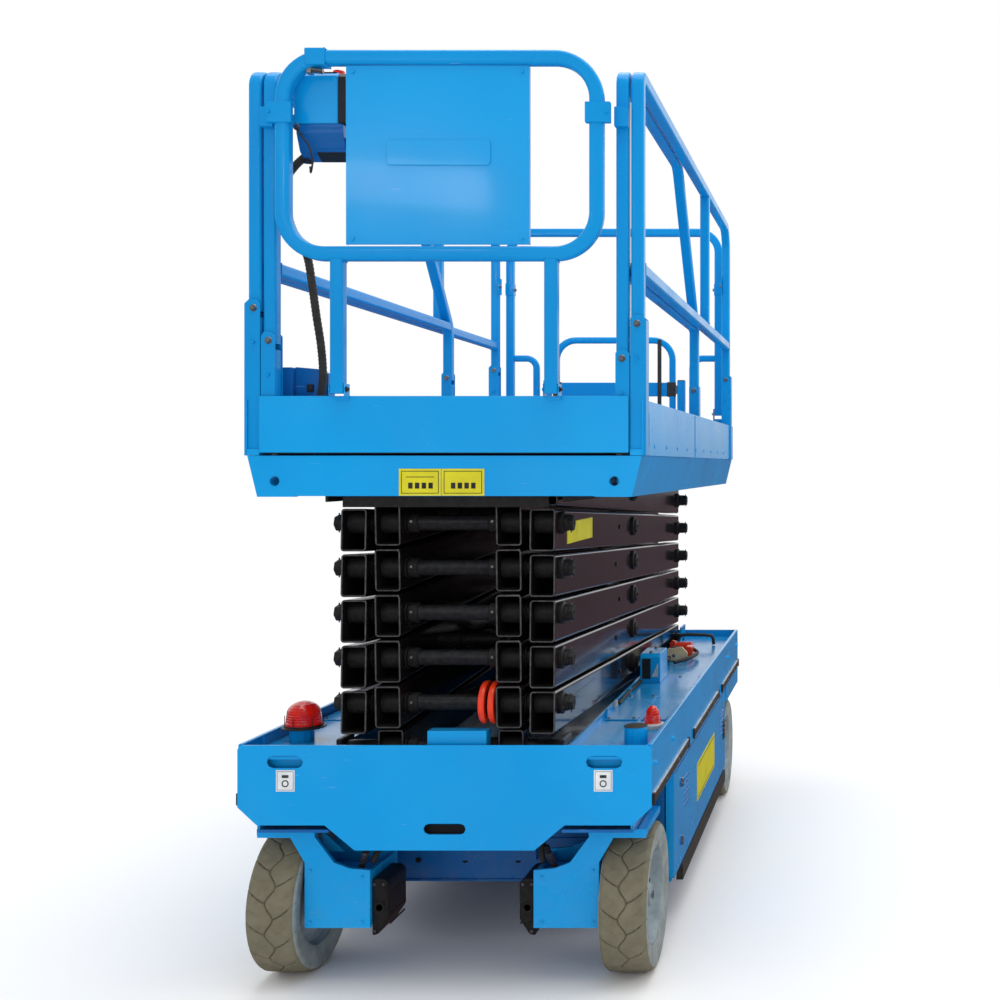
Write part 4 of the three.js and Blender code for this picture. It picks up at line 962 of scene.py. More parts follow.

# box on the inside of the left toe board, by the front post, in darker blue as painted shade
g = Geo("blue_painted_shade")
g.prism("y", [(-452, 1598), (-360, 1598), (-360, 1672), (-384, 1684), (-452, 1690)], D(118), D(140), 2, "blue_painted_shade")
g.dbox(-486, -452, 100, 160, 1500, 1688, 3, "blue_painted_shade")
g.dbox(-452, -360, 100, 142, 1468, 1600, 3, "blue_painted_shade")
g.dbox(-418, -400, 112, 119, 1620, 1642, 2, "plastic")
g.lathe((-409, D(113), 1631), (0, -1, 0), [(0, 0), (8, 0), (8, 3), (4, 4), (0, 4)], 16, "ink")
g.build("document_box", "extension")

# ------------------------------------------------------------------ CAD nodes shown as they are
# the lower middle faces of the chassis frame take the darker blue: painted shade
keep("chassis_frame", "blue", "blue_paint", 1.5, pick=[("blue_painted_shade", lambda c, n: c.z < 452 and abs(c.x) < 520)])
keep("front_plate", "blue", "blue_paint", 1.2)
# the underside of the platform frame between the channels is near-black: painted shade
keep("platform_frame", "blue", "blue_paint", 1.6, pick=[
    ("cast", lambda c, n: abs(c.x) < 323 and c.z < 1439.5 and c.y > D(3) and not (c.y > D(2200))),
    ("tread", lambda c, n: c.z > 1446.5)])
for s in ("left", "right"):
    # the doors' lower inner faces are near-black: painted shade
    keep(f"door_{s}", "blue", "blue_paint", 1.4, pick=[("cast", lambda c, n: c.z < 182 and abs(c.x) < 520)])
    keep(f"pothole_guard_{s}", "rubber", "black_plastic", 5.0)
    keep(f"steer_yoke_{s}", "blue", "blue_paint", 1.4)
keep("entry_ladder", "blue", "blue_paint", 1.6)
for nname in ("battery_1", "battery_2"):
    keep(nname, "battery", "black_plastic", 5.0)
keep("hydraulic_tank", "black", "black_paint", 6.0)
keep("pump_motor", "cast", "black_plastic", 2.0)

# ------------------------------------------------------------------ chassis details
# yellow information plates on the platform beam, blank apart from border lines
g = Geo("yellow")
g.dbox(-121, -8.5, -1.4, -0.1, 1337, 1409, 0.5, "yellow", 1)
g.dbox(-7, 107, -1.4, -0.1, 1337, 1409, 0.5, "yellow", 1)
for x0, x1 in ((-115, -14.5), (-1, 101)):
    for a, b, c, d in ((x0, x1, 1401.5, 1403.3), (x0, x1, 1343, 1344.8), (x0, x0 + 1.8, 1343, 1403), (x1 - 1.8, x1, 1343, 1403)):
        g.dbox(a, b, -1.7, -1.3, c, d, 0.1, "ink", 1)
g.dbox(-102, -27, -1.7, -1.3, 1386, 1388, 0.1, "ink", 1)
for i in range(4):
    g.dbox(-96 + i * 18, -84 + i * 18, -1.7, -1.3, 1356, 1372, 0.2, "ink", 1)
    g.dbox(18 + i * 18, 30 + i * 18, -1.7, -1.3, 1356, 1372, 0.2, "ink", 1)
g.build("beam_plates", "platform")
g = Geo("inside")
for x in (-453, 453):
    g.lathe((x, D(-0.2), 1376), (0, -1, 0), [(13.2, 0), (15, 0), (15, 0.5), (13.2, 0.6)], 28, "blue", closed=True)
g.build("beam_hole_rims", "platform")

# white plates by the tie-down slots: plain, with a border and a ring mark
g = Geo("white")
for m in (1, -1):
    x0, x1 = m * 424 - 25, m * 424 + 25
    g.dbox(x0, x1, -1.3, -0.1, 548, 605, 0.5, "white", 1)
    for a, b, c, d in ((x0 + 3, x1 - 3, 600.4, 601.6), (x0 + 3, x1 - 3, 551.5, 552.7), (x0 + 3, x0 + 4.2, 551.5, 601.6), (x1 - 4.2, x1 - 3, 551.5, 601.6)):
        g.dbox(a, b, -1.5, -1.2, c, d, 0.1, "ink", 1)
    g.lathe((m * 424, D(-1.3), 569), (0, -1, 0), [(6.5, 0), (9.5, 0), (9.5, 0.5), (6.5, 0.5)], 24, "ink", closed=True)
    g.dbox(m * 424 - 9, m * 424 + 9, -1.7, -1.2, 584, 592, 0.3, "edge", 1)
g.build("tie_down_plates", "chassis")

# painted shade in the front slots: dark sheets in the openings and a near-black plate behind the middle slot; blue
# plates behind the side slots
g = Geo("blue_painted_shade")
for cx, cz, w, h in ((426, 626, 97, 33), (-426, 626, 97, 33), (0, 447, 113, 29)):
    for zz in (cz - h / 2 - 4.5, cz + h / 2 + 1.5):
        g.dbox(cx - w / 2, cx + w / 2, 6.2, 16, zz, zz + 3, 0.8, "blue_painted_shade")
for m in (1, -1):
    g.dbox(m * 426 - 62, m * 426 + 62, 30, 33, 600, 650, 0.8, "blue")
g.dbox(-70, 70, 26, 29, 420, 452, 0.8, "cast")
g.build("slot_backs_and_painted_shade", "chassis")

# side walls: rubber strips in three runs with clips, pale top edge
for m, side in ((1, "right"), (-1, "left")):
    g = Geo("rubber")
    for d0, d1 in ((6, 700), (815, 1545), (1650, 2314)):
        g.dbox(m * 552.5, m * 558.5, d0, d1, 511, 534, 2.4, "rubber", 3)
        g.dbox(m * 552.5, m * 557.5, d0 + 1, d1 - 1, 534.5, 538.5, 1.2, "pale")
        for dd in (d0, d1 - 16):
            g.dbox(m * 552.5, m * 560, dd, dd + 16, 508, 541, 2.2, "plastic")
        n = int((d1 - d0) / 180)
        for i in range(1, n):
            dd = d0 + (d1 - d0) * i / n
            g.cyl((m * 557, D(dd), 522), (m * 559.6, D(dd), 522), 5.5, "steel", 14)
    g.build(f"rubbing_strip_{side}", "chassis")

    # wall top: rolled edge, and bolts through the wall
    g = Geo("blue")
    g.dbox(m * 541, m * 553.3, 8, 2312, 667, 673, 2.4, "blue", 3)
    for d in (60, 360, 1900, 2260):
        g.bolt((m * 553, D(d), 610), (m, 0, 0), 7, 5, "blue")
    for d in range(120, 2300, 310):
        g.dbox(m * 538, m * 548, d, d + 5, 641, 667, 1.4, "blue")
    g.build(f"wall_edge_{side}", "chassis")

    # door furniture: hinges, latches, vents, recess and a blank yellow plate; the darker blue of the hinge leaves, vent
    # louvres and recess line is painted shade
    g = Geo("blue")
    X = m * 549
    for zz in (427, 246):
        g.dbox(X, m * 552.5, 545, 596, zz - 9, zz + 9, 1.8, "blue_painted_shade")
        g.cyl((m * 552, D(571), zz - 14), (m * 552, D(571), zz + 14), 5, "steel", 14)
        g.bolt((m * 552, D(556), zz), (m, 0, 0), 3.6, 2.5, "steel", False)
        g.bolt((m * 552, D(586), zz), (m, 0, 0), 3.6, 2.5, "steel", False)
    for dd in (640, 1680):
        for i in range(6):
            g.prism("z", [(m * 548.6, D(dd)), (m * 552.2, D(dd + 6)), (m * 552.2, D(dd + 84)), (m * 548.6, D(dd + 90))], 330 + i * 17, 335 + i * 17, 0.9, "blue_painted_shade")
    g.dbox(m * 548.5, m * 552.4, 1744, 1800, 300, 372, 2.2, "plastic", 3)
    g.dbox(m * 552, m * 554, 1756, 1788, 312, 342, 1.4, "steel")
    g.cyl((m * 552, D(1772), 357), (m * 555, D(1772), 357), 7, "steel", 18)
    g.dbox(m * 548.8, m * 550.2, 950, 1450, 262, 392, 0.6, "yellow", 1)
    g.dbox(m * 550.1, m * 550.6, 962, 1438, 380, 383, 0.1, "ink", 1)
    g.dbox(m * 550.1, m * 550.6, 962, 1438, 271, 274, 0.1, "ink", 1)
    g.dbox(m * 548.6, m * 550.6, 433, 1822, 487, 492, 0.8, "blue_painted_shade")
    g.build(f"door_furniture_{side}", f"door_{side}")

    # drive motor end cap inboard of the steering yoke, with its hoses
    g = Geo("cast")
    g.prism("y", [(m * 179, 178), (m * 206, 138), (m * 223.2, 133), (m * 223.2, 290), (m * 192, 290), (m * 179, 278)], D(75), D(215), 6, "cast", 3)
    g.lathe((m * 202, D(76), 212), (0, -1, 0), [(0, 0), (15, 0), (15, 4), (9, 4), (9, 1), (0, 1)], 28, "cast")
    for zz in (160, 184, 240, 264):
        g.dbox(m * 178.2, m * 180, 90, 200, zz, zz + 6, 0.8, "cast")
    for xx, zz in ((190, 276), (214, 276), (214, 148)):
        g.bolt((m * xx, D(75), zz), (0, -1, 0), 4.5, 4, "steel", False)
    g.build(f"drive_motor_cap_{side}", f"steer_{side}")
    g = Geo("steel")
    # hose fitting where the lines cross from the yoke to the frame
    g.cyl((m * 262, D(112), 322), (m * 252, D(106), 352), 11, "steel", 6, 2)
    g.cyl((m * 252, D(106), 352), (m * 246, D(104), 372), 8, "cast", 16)
    g.hose([(m * 262, D(112), 320), (m * 270, D(118), 300), (m * 268, D(130), 275)], 8, "rubber", n=10)
    g.hose([(m * 236, D(112), 322), (m * 228, D(126), 345), (m * 226, D(150), 362)], 8, "rubber", n=10)
    g.build(f"yoke_hoses_{side}", f"steer_{side}")
    g = Geo("blue")
    # gusset and bolts on the yoke front
    for xx, zz in ((244, 178), (384, 178), (244, 300), (384, 318)):
        g.bolt((m * xx, D(60), zz), (0, -1, 0), 4.2, 2.6, "blue", False)
    g.prism("y", [(m * 330, 341), (m * 392, 400), (m * 392, 341)], D(150), D(158), 1.2, "blue")
    g.dbox(m * 374, m * 529, 59, 62, 406, 414, 1.0, "blue")
    g.build(f"yoke_details_{side}", f"steer_{side}")

# front cross panel between the yokes, in the shade
g = Geo("blue_painted_shade")
g.dbox(-296, 296, 417, 424.5, 168, 174, 1.5, "blue_painted_shade")
g.dbox(-296, 296, 417, 424.5, 292, 298, 1.5, "blue_painted_shade")
for x in (-220, -80, 80, 220):
    g.bolt((x, D(424), 230), (0, -1, 0), 6, 5, "cast")
g.build("front_cross_panel", "chassis")

# things on top of the compartments
g = Geo("blue")
g.prism("x", [(D(1113), 640.2), (D(1113), 733), (D(1127), 745), (D(1268), 745), (D(1280), 734), (D(1280), 640.2)], 324, 396, 2.5, "blue", 3)
g.dbox(332, 362, 1111.4, 1113.4, 656, 728, 0.5, "cast")
g.prism("y", [(366, 664), (388, 664), (388, 712)], D(1111.4), D(1113.4), 0.4, "pale", 1)
for d in (1145, 1250):
    g.bolt((360, D(d), 745), (0, 0, 1), 6, 5)
g.build("manifold_cover", "chassis")
g = Geo("beige")
g.prism("y", [(345, 640.3), (424, 640.3), (424, 676), (404, 698), (345, 690)], D(1600), D(1612), 1.5, "beige")
g.dbox(345, 424, 1600, 1660, 640.3, 646, 1.5, "beige")
g.cyl((372, D(1598), 664), (372, D(1600.5), 664), 7, "steel", 16)
g.build("tray_plate", "chassis")
g = Geo("orange")
g.cyl((352, D(1800), 666), (418, D(1800), 666), 24, "orange", 28, 4)
g.dbox(340, 428, 1770, 1840, 640.3, 650, 3, "orange")
g.prism("y", [(330, 650), (348, 650), (352, 694), (338, 700), (326, 686)], D(1780), D(1796), 3, "orange", 3)
g.dbox(402, 430, 1700, 1760, 640.3, 684, 5, "orange", 3)
g.cyl((360, D(1720), 640.4), (360, D(1720), 682), 15, "cast", 24)
g.build("valve_block", "chassis")
g = Geo("rubber")
g.hose([(325, D(2040), 646), (330, D(2040), 676), (352, D(2040), 686), (440, D(2046), 684), (470, D(2050), 676), (476, D(2052), 644)], 7, "rubber", n=12)
g.hose([(352, D(1480), 660), (360, D(1530), 662), (352, D(1580), 655), (360, D(1700), 664)], 8, "rubber", n=10)
g.hose([(392, D(1478), 656), (440, D(1540), 664), (452, D(1700), 660), (416, D(1790), 668)], 7, "rubber", n=10)
g.hose([(330, D(700), 648), (326, D(900), 650), (328, D(1150), 648), (336, D(1300), 660)], 6, "rubber", n=10)
g.build("hydraulic_lines", "chassis")
g = Geo("pale")
for d in (520, 660, 900, 1120):
    g.prism("x", [(D(d), 640.2), (D(d + 34), 640.2), (D(d + 20), 664), (D(d + 10), 664)], 321, 329, 1, "pale" if d == 660 else "blue")
g.build("line_clips", "chassis")

# lift-out covers, seams and bolts on both compartments
for m, side in ((1, "right"), (-1, "left")):
    g = Geo("blue")
    g.dbox(m * 440, m * 536, 470, 1240, 640.2, 643.6, 1.4, "blue")
    g.dbox(m * 330, m * 430, 470, 860, 640.2, 643.6, 1.4, "blue")
    if m < 0:
        g.dbox(m * 330, m * 536, 1290, 1800, 640.2, 643.6, 1.4, "blue")
        for xx, dd in ((345, 1310), (520, 1310), (345, 1780), (520, 1780)):
            g.bolt((m * xx, D(dd), 643.4), (0, 0, 1), 5, 4)
    for xx, dd in ((452, 485), (524, 485), (452, 1225), (524, 1225), (342, 485), (418, 485), (342, 845), (418, 845)):
        g.bolt((m * xx, D(dd), 643.4), (0, 0, 1), 4.6, 3.4)
    g.build(f"top_covers_{side}", "chassis")

# rear end: lamps, ladder pads, socket and a blank yellow plate
g = Geo("blue")
for m in (1, -1):
    g.dbox(m * 470, m * 530, 2319.6, 2323.4, 590, 620, 1.5, "lens")
    g.dbox(m * 466, m * 534, 2319.4, 2321.4, 586, 624, 1.0, "plastic")
    for zz in (480, 640):
        g.bolt((m * 530, D(2320), zz), (0, 1, 0), 6, 5, "blue")
    g.dbox(m * 206, m * 211.5, 2322, 2371, 186, 192, 1.2, "rubber")
g.dbox(300, 400, 2319.6, 2330, 500, 580, 4, "plastic", 3)
g.cyl((350, D(2328), 540), (350, D(2338), 540), 22, "plastic", 28)
g.cyl((350, D(2337), 540), (350, D(2340), 540), 14, "steel", 24)
g.dbox(-400, -300, 2319.6, 2323, 500, 590, 2, "yellow")
g.build("rear_fittings", "chassis")
g = Geo("rubber")
for zz in (229, 424, 624):
    g.dbox(-196, 196, 2334, 2369, zz, zz + 1.6, 0.5, "tread")
g.build("ladder_pads", "chassis")

# battery tops, caps and cables
g = Geo("plastic")
for d in (500, 830):
    for i in range(3):
        for j in range(2):
            g.cyl((-380 - i * 42, D(d + 100 + j * 100), 431), (-380 - i * 42, D(d + 100 + j * 100), 438), 12, "yellow", 18)
    for x in (-352, -492):
        g.cyl((x, D(d + 40), 431), (x, D(d + 40), 446), 8, "steel", 14)
g.hose([(-352, D(540), 444), (-340, D(640), 462), (-345, D(780), 462), (-352, D(870), 444)], 7, "orange", n=10)
g.build("battery_tops", "door_left")
g = Geo("steel")
for i in range(4):
    g.cyl((348 + i * 36, D(1266), 328), (348 + i * 36, D(1266), 352), 9, "steel", 16)
g.hose([(348, D(1266), 350), (340, D(1200), 386), (350, D(960), 396), (380, D(900), 400)], 7, "rubber", n=10)
g.cyl((470, D(820), 419), (470, D(820), 440), 16, "steel", 20)
g.dbox(500, 505.4, 560, 600, 220, 380, 2, "pale")
g.build("pump_details", "door_right")

# ------------------------------------------------------------------ lamps
def dome(cx, d, r, z0, h, flange, key, cage):
    g = Geo("plastic")
    if not cage:
        g.lathe((cx, D(d), z0), (0, 0, 1), [(0, 4.5), (flange, 4.5), (flange + 0.5, 7), (flange, 11), (flange - 3, 14), (r + 4, 15), (r + 1, 12), (0, 12)], 40, "pale")
    g.lathe((cx, D(d), z0), (0, 0, 1), [(0, 0), (flange, 0), (flange + 0.8, 1.5), (flange, 4), (r + 3, 5), (r + 3, 9), (0, 9)], 40, "plastic" if cage else "pale")
    prof = [(0, 8), (r, 8), (r + 0.5, 12)]
    hh = h - 12
    for i in range(1, 5):
        prof += [(r * (1 - 0.015 * i), 12 + hh * 0.11 * i - 1.6), (r * (1 - 0.015 * i) - 1.6, 12 + hh * 0.11 * i)]
    for i in range(1, 9):
        a = math.radians(i * 90 / 8)
        prof.append((max(r * 0.92 * math.cos(a), 0.0) if i < 8 else 0.0, 12 + hh * 0.44 + hh * 0.56 * math.sin(a)))
    g.lathe((cx, D(d), z0), (0, 0, 1), prof, 40, key)
    # bulb inside, and six thin bars round the lens
    g.cyl((cx, D(d), z0 + 9), (cx, D(d), z0 + h * 0.55), r * 0.34, "white", 20)
    for i in range(6):
        a = math.radians(60 * i + 20)
        g.cyl((cx + (r + 0.8) * math.cos(a), D(d) + (r + 0.8) * math.sin(a), z0 + 8), (cx + (r + 0.8) * math.cos(a), D(d) + (r + 0.8) * math.sin(a), z0 + h * 0.48), 1.1, "plastic" if cage else "lens_o", 8)
    return g


bl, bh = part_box("beacon_left")
cz0 = bl.z * 1000
dome(-463, 197, 49, cz0, (bh.z - bl.z) * 1000, 59, "lens", True).build("visual_beacon_left", "chassis", "beacon_left", "lens")
bl2, bh2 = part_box("beacon_right")
cx2, cd2 = (bl2.x + bh2.x) * 500, (bl2.y + bh2.y) * 500 - FRONT
dome(cx2, cd2, (bh2.x - bl2.x) * 500 - 13, bl2.z * 1000, (bh2.z - bl2.z) * 1000, (bh2.x - bl2.x) * 500, "lens_o", False).build("visual_beacon_right", "chassis", "beacon_right", "lens")
g = Geo("rubber")
g.lathe((483, D(155), 689.5), (0, 0, 1), [(0, 0), (32, 0), (33.6, 1), (31, 3.2), (25, 2.6), (22, 4), (0, 4)], 40, "rubber")
g.build("post_cap_right", "chassis")

# ------------------------------------------------------------------ tie rod
AXLE_F, AXLE_R, AXLE_Z = D(203), D(2053), 203.0
g = Geo("steel")
y = AXLE_F + 150
g.cyl((-452, y, 399), (452, y, 399), 9, "steel", 20)
for m in (1, -1):
    g.lathe((m * 452, y, 391), (0, 0, 1), [(0, 0), (14, 0), (17, 4), (17, 14), (12, 18), (0, 18)], 24, "cast")
    g.cyl((m * 452, y, 408), (m * 452, y, 434), 7.4, "steel", 16)
    g.cyl((m * 380, y, 399), (m * 425, y, 399), 12, "cast", 6)
g.build("visual_tie_rod", "tie_rod", "tie_rod", "steel")

# ------------------------------------------------------------------ wheels
def tyre(name, node, body, cx, cy, m, seed):
    n, R, W = 600, 203.0, 68.0
    across = []  # (radius, x, kind)
    for x in [W * t for t in (-1, -0.97)]:
        pass
    xs = [-54 + i * 108 / 44 for i in range(45)]
    prof = [(132.5, -55), (135, -58), (150, -60.5), (158, -62.5), (163, -62.5), (176, -65), (186, -66.5), (191, -64.5), (195.5, -62), (199, -58.5)]
    left = [(r, x, "side") for r, x in prof]
    crown = [(R - 1.6 * (abs(x) / 54) ** 2.5, x, "tread") for x in xs]
    right = [(r, -x, "side") for r, x in reversed(prof)]
    row = left + crown + right
    k = len(row)
    pitch = 2 * math.pi / 15
    verts, faces, mats = [], [], []
    depth = []
    for i in range(n):
        a = 2 * math.pi * i / n
        cs, sn = math.cos(a), math.sin(a)
        for r, x, kind in row:
            g_ = 0.0
            ax = abs(x)
            if kind == "tread" or ax > 57:
                t = (a / pitch) % 1.0
                zig = 11.0 * math.cos(2 * math.pi * t)
                if kind == "tread":
                    e = abs(x - zig)
                    g_ = max(g_, 1.0 if e < 1.2 else max(0.0, 1 - (e - 1.2) / 1.5))
                s = 0.0 if x > 0 else 0.5
                curve = 0.42 * (min(ax, 66) / 60.0) ** 1.8
                u = ((a / pitch) + s + curve * (1 if x > 0 else 1)) % 1.0
                e = min(u, 1 - u) * pitch * R
                if ax > abs(zig) - 1 and r > 182:
                    g_ = max(g_, 1.0 if e < 1.1 else max(0.0, 1 - (e - 1.1) / 1.5))
                # short sipe halfway along each block
                if 24 < ax < 66 and r > 188:
                    u2 = (u + 0.5) % 1.0
                    e2 = min(u2, 1 - u2) * pitch * R
                    g_ = max(g_, 0.4 * (1.0 if e2 < 0.7 else max(0.0, 1 - (e2 - 0.7) / 1.2)))
            rr = r - 4.0 * g_
            verts.append((cx + x * m, cy + rr * cs, AXLE_Z + rr * sn))
            depth.append(g_)
    g = Geo("tyre", "groove_shade", "rim_side")
    for i in range(n):
        A, B = i * k, ((i + 1) % n) * k
        for j in range(k - 1):
            q = (A + j, A + j + 1, B + j + 1, B + j)
            d = sum(depth[v] for v in q) / 4
            r = row[j][0]
            side = row[j][2] == "side" and row[j + 1][2] == "side"
            faces.append(q)
            mats.append(1 if d > 0.62 else (2 if side and r < 194 else 0))
    # inner seat
    for i in range(n):
        A, B = i * k, ((i + 1) % n) * k
        faces.append((A + k - 1, A, B, B + k - 1))
        mats.append(2)
    g.v, g.f, g.m = verts, faces, mats
    return g.build(name, body, node, "tyre", angle=60)


M["rim_side"] = plain("sidewall_pale_grey", lin(150, 158, 156), lin(118, 126, 124), (0.5, 0.7), 0.0, 22, 0.3, 300)


def hub(name, node, body, cx, cy, m):
    g = Geo("rim")
    o, ax = (cx, cy, AXLE_Z), (m, 0, 0)
    g.lathe(o, ax, [(0, -62), (58, -62), (62, -60), (64, -56), (124, -40), (130, -50), (132.4, -54), (132.4, 54), (129, 56), (126, 52), (122, 34), (100, 8), (84, 2), (62, 6), (56, 10), (0, 10)], 64, "rim")
    g.lathe(o, ax, [(0, 8), (44, 8), (46, 10), (46, 26), (42, 32), (34, 36), (30, 46), (0, 48)], 40, "rim")
    g.lathe((cx + m * 48, cy, AXLE_Z), ax, [(0, 0), (11, 0), (11, 4), (0, 5)], 6, "steel")
    for i in range(8):
        a = 2 * math.pi * i / 8 + 0.2
        p = (cx + m * 4.5, cy + 73 * math.cos(a), AXLE_Z + 73 * math.sin(a))
        g.bolt(p, ax, 8.5, 12, "steel")
    # six near-black discs for the holes in the dish: painted shade
    for i in range(6):
        a = 2 * math.pi * i / 6
        p = (cx + m * 30, cy + 111 * math.cos(a), AXLE_Z + 111 * math.sin(a))
        g.lathe((cx + m * 17, p[1], p[2]), ax, [(0, 0), (8, 0), (9, 2), (9, 6), (6, 7), (0, 4)], 18, "inside")
    for i in range(6):
        a = 2 * math.pi * i / 6 + 0.3
        g.bolt((cx - m * 57, cy + 46 * math.cos(a), AXLE_Z + 46 * math.sin(a)), (-m, 0, 0), 6, 6, "cast", False)
    return g.build(name, body, node, "rim")


for pos, m, cy in (("front_left", -1, AXLE_F), ("front_right", 1, AXLE_F), ("rear_left", -1, AXLE_R), ("rear_right", 1, AXLE_R)):
    cx = m * 472
    tyre(f"visual_tyre_{pos}", f"tyre_{pos}", f"wheel_{pos}", cx, cy, m, 1)
    hub(f"visual_wheel_hub_{pos}", f"wheel_hub_{pos}", f"wheel_{pos}", cx, cy, m)

# ------------------------------------------------------------------ platform underside and small fittings
g = Geo("black")
for m in (1, -1):
    for d in (60, 620, 1160):
        g.bolt((m * 322, D(d), 1372), (m, 0, 0), 7, 6, "steel")
g.build("channel_bolts", "platform")
for m, side in ((1, "right"), (-1, "left")):
    g = Geo("blue")
    for d in (260, 900, 1540, 2180):
        g.prism("y", [(m * 489, 1346), (m * 501, 1346), (m * 524, 1430), (m * 489, 1430)], D(d), D(d + 4), 0.6, "blue")
    # thin darker strip on the toe board: painted shade in the seam
    g.dbox(m * 531, m * 532.2, 1030, 1042, 1448, 1590, 0.4, "blue_painted_shade")
    g.build(f"beam_gussets_{side}", "platform")

# ------------------------------------------------------------------ stage
def floor_material():
    n = Nodes("studio_floor")
    c = n.xyz()
    r = n.math("SQRT", n.math("ADD", n.math("MULTIPLY", c[0], c[0]), n.math("MULTIPLY", c[1], c[1])))
    fac = n.ramp(r, 1.6, 4.2)
    d = n.node("ShaderNodeBsdfDiffuse")
    d.inputs["Color"].default_value = (0.93, 0.93, 0.93, 1)
    e = n.node("ShaderNodeEmission")
    e.inputs["Color"].default_value = (1, 1, 1, 1)
    e.inputs["Strength"].default_value = 1.0
    x = n.node("ShaderNodeMixShader")
    n.link(fac, x.inputs[0])
    n.link(d.outputs[0], x.inputs[1])
    n.link(e.outputs[0], x.inputs[2])
    lpath = n.node("ShaderNodeLightPath")
    dull = n.node("ShaderNodeEmission")
    dull.inputs["Color"].default_value = (0.62, 0.42, 0.50, 1)
    dull.inputs["Strength"].default_value = 0.16
    y = n.node("ShaderNodeMixShader")
    n.link(lpath.outputs["Is Glossy Ray"], y.inputs[0])
    n.link(x.outputs[0], y.inputs[1])
    n.link(dull.outputs[0], y.inputs[2])
    n.link(y.outputs[0], n.out.inputs["Surface"])
    return n.mat


me = bpy.data.meshes.new("floor")
R = 60.0
me.from_pydata([(R * math.cos(i * math.pi / 24), R * math.sin(i * math.pi / 24), -0.0005) for i in range(48)], [], [tuple(range(48))])
floor = bpy.data.objects.new("floor", me)
me.materials.append(floor_material())
bpy.context.scene.collection.objects.link(floor)
floor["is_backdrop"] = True

world = bpy.data.worlds.new("studio")
bpy.context.scene.world = world
world.use_nodes = True
wt = world.node_tree
wt.nodes.clear()
wo = wt.nodes.new("ShaderNodeOutputWorld")
lp = wt.nodes.new("ShaderNodeLightPath")
bg1, bg2 = wt.nodes.new("ShaderNodeBackground"), wt.nodes.new("ShaderNodeBackground")
bg1.inputs["Color"].default_value = (1, 1, 1, 1)
bg1.inputs["Strength"].default_value = 1.0
# soft dome, brighter overhead
tc = wt.nodes.new("ShaderNodeTexCoord")
sp = wt.nodes.new("ShaderNodeSeparateXYZ")
mr = wt.nodes.new("ShaderNodeMapRange")
wt.links.new(tc.outputs["Generated"], sp.inputs[0])
wt.links.new(sp.outputs[2], mr.inputs["Value"])
mr.inputs["From Min"].default_value = -0.2
mr.inputs["From Max"].default_value = 0.8
mr.inputs["To Min"].default_value = 0.34
mr.inputs["To Max"].default_value = 0.88
back = wt.nodes.new("ShaderNodeMapRange")
wt.links.new(sp.outputs[1], back.inputs["Value"])
back.inputs["From Min"].default_value = 0.1
back.inputs["From Max"].default_value = 0.8
back.inputs["To Min"].default_value = 1.0
back.inputs["To Max"].default_value = 0.30
dim = wt.nodes.new("ShaderNodeMath")
dim.operation = "MULTIPLY"
wt.links.new(mr.outputs["Result"], dim.inputs[0])
wt.links.new(back.outputs["Result"], dim.inputs[1])
zr = wt.nodes.new("ShaderNodeMapRange")
wt.links.new(sp.outputs[2], zr.inputs["Value"])
for nm, v in (("From Min", -0.02), ("From Max", 0.10), ("To Min", 0.22), ("To Max", 1.0)):
    zr.inputs[nm].default_value = v
yr = wt.nodes.new("ShaderNodeMapRange")
wt.links.new(sp.outputs[1], yr.inputs["Value"])
for nm, v in (("From Min", -0.3), ("From Max", 0.5), ("To Min", 0.28), ("To Max", 1.05)):
    yr.inputs[nm].default_value = v
gl = wt.nodes.new("ShaderNodeMath")
gl.operation = "MULTIPLY"
wt.links.new(zr.outputs["Result"], gl.inputs[0])
wt.links.new(yr.outputs["Result"], gl.inputs[1])
dim2 = wt.nodes.new("ShaderNodeMix")
wt.links.new(lp.outputs["Is Glossy Ray"], dim2.inputs[0])
wt.links.new(dim.outputs[0], dim2.inputs[2])
wt.links.new(gl.outputs[0], dim2.inputs[3])
wt.links.new(dim2.outputs[0], bg2.inputs["Strength"])
bg2.inputs["Color"].default_value = (0.97, 0.98, 1.0, 1)
mx = wt.nodes.new("ShaderNodeMixShader")
wt.links.new(lp.outputs["Is Camera Ray"], mx.inputs[0])
wt.links.new(bg2.outputs[0], mx.inputs[1])
wt.links.new(bg1.outputs[0], mx.inputs[2])
wt.links.new(mx.outputs[0], wo.inputs["Surface"])


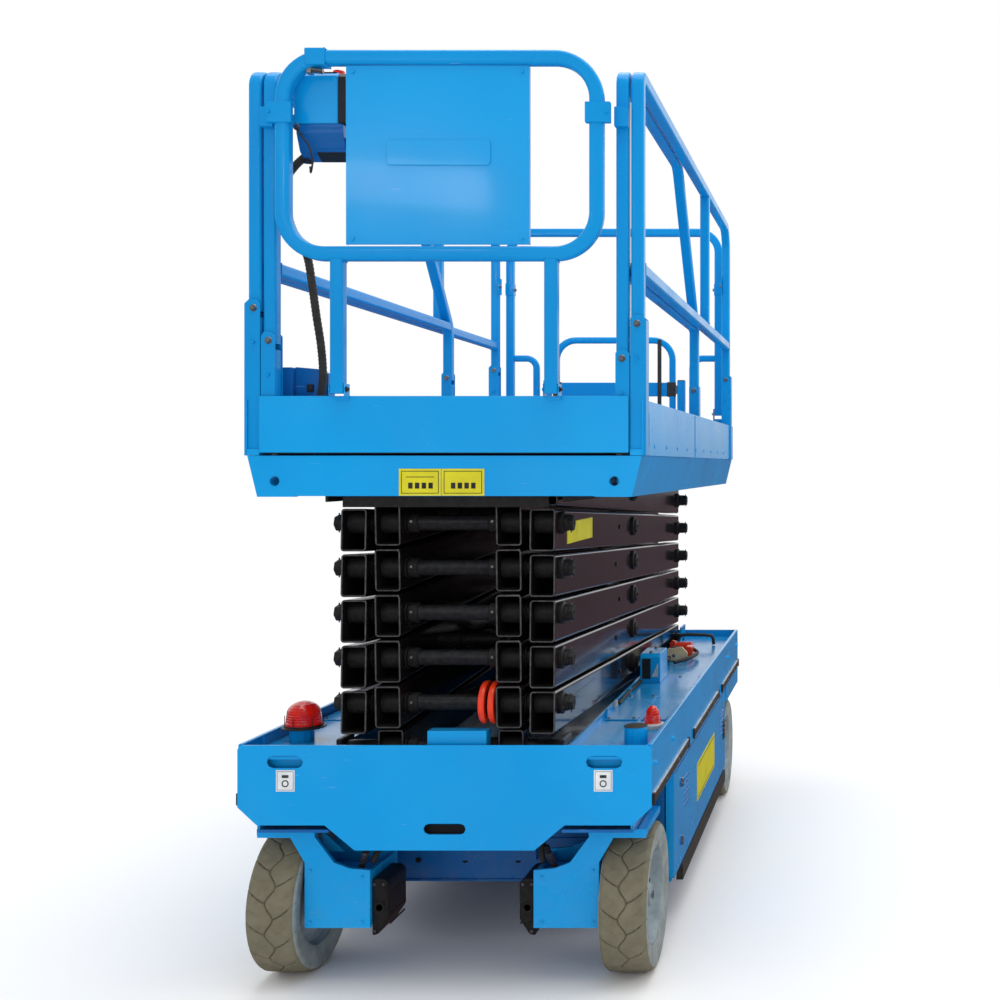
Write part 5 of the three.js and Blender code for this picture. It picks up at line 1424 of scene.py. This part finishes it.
def area(name, loc, target, sx, sy, energy, color=(1, 1, 1), shine=True):
    ld = bpy.data.lights.new(name, "AREA")
    ld.shape = "RECTANGLE"
    ld.size, ld.size_y, ld.energy, ld.color = sx, sy, energy, color
    ob = bpy.data.objects.new(name, ld)
    ob.location = loc
    ob.rotation_euler = (Vector(target) - Vector(loc)).to_track_quat("-Z", "Y").to_euler()
    ob.visible_glossy = shine
    bpy.context.scene.collection.objects.link(ob)
    ob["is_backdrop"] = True
    return ob


area("key", (-2.15, -6.9, 3.45), (0, -1, 1.6), 1.1, 0.3, 7)
area("overhead", (0.5, -0.5, 6.0), (0, 0, 0), 4.5, 5.5, 190)
area("front_fill", (0.6, -7.2, 0.9), (0, 0, 0.7), 5.0, 1.6, 92, shine=False)
area("right_side", (6.5, 0.5, 2.8), (0, 0.2, 1.1), 4.0, 2.2, 90, (1.0, 0.96, 0.97), shine=False)
area("left_side", (-6.5, 1.0, 3.0), (0, 0, 1.1), 4.0, 2.2, 90, shine=False)
area("rear", (0.0, 7.0, 3.2), (0, 0, 1.2), 4.0, 2.0, 110, shine=False)

cd = bpy.data.cameras.new("camera")
cam = bpy.data.objects.new("camera", cd)
bpy.context.scene.collection.objects.link(cam)
cam.location = (1.109, -4.460, 1.419)
cam.rotation_euler = (math.radians(90), 0, 0)
cd.sensor_width = 36.0
cd.lens = 44.53
cd.clip_start, cd.clip_end = 0.05, 200.0
cam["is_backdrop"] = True
# the off-centre framing belongs to the photograph's own place only
for prop, value in (("shift_x", -0.360), ("shift_y", -0.035)):
    setattr(cd, prop, value)
    dr = cd.driver_add(prop).driver
    dr.type = "SCRIPTED"
    v = dr.variables.new()
    v.name = "y"
    v.targets[0].id = cam
    v.targets[0].data_path = "location[1]"
    dr.expression = f"{value} if y > -4.461 and y < -4.459 else 0.0"
bpy.context.scene.camera = cam
bpy.context.scene.view_settings.view_transform = "Standard"
bpy.context.scene.view_settings.look = "None"
bpy.context.scene.view_settings.exposure = 0.0

lo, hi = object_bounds()
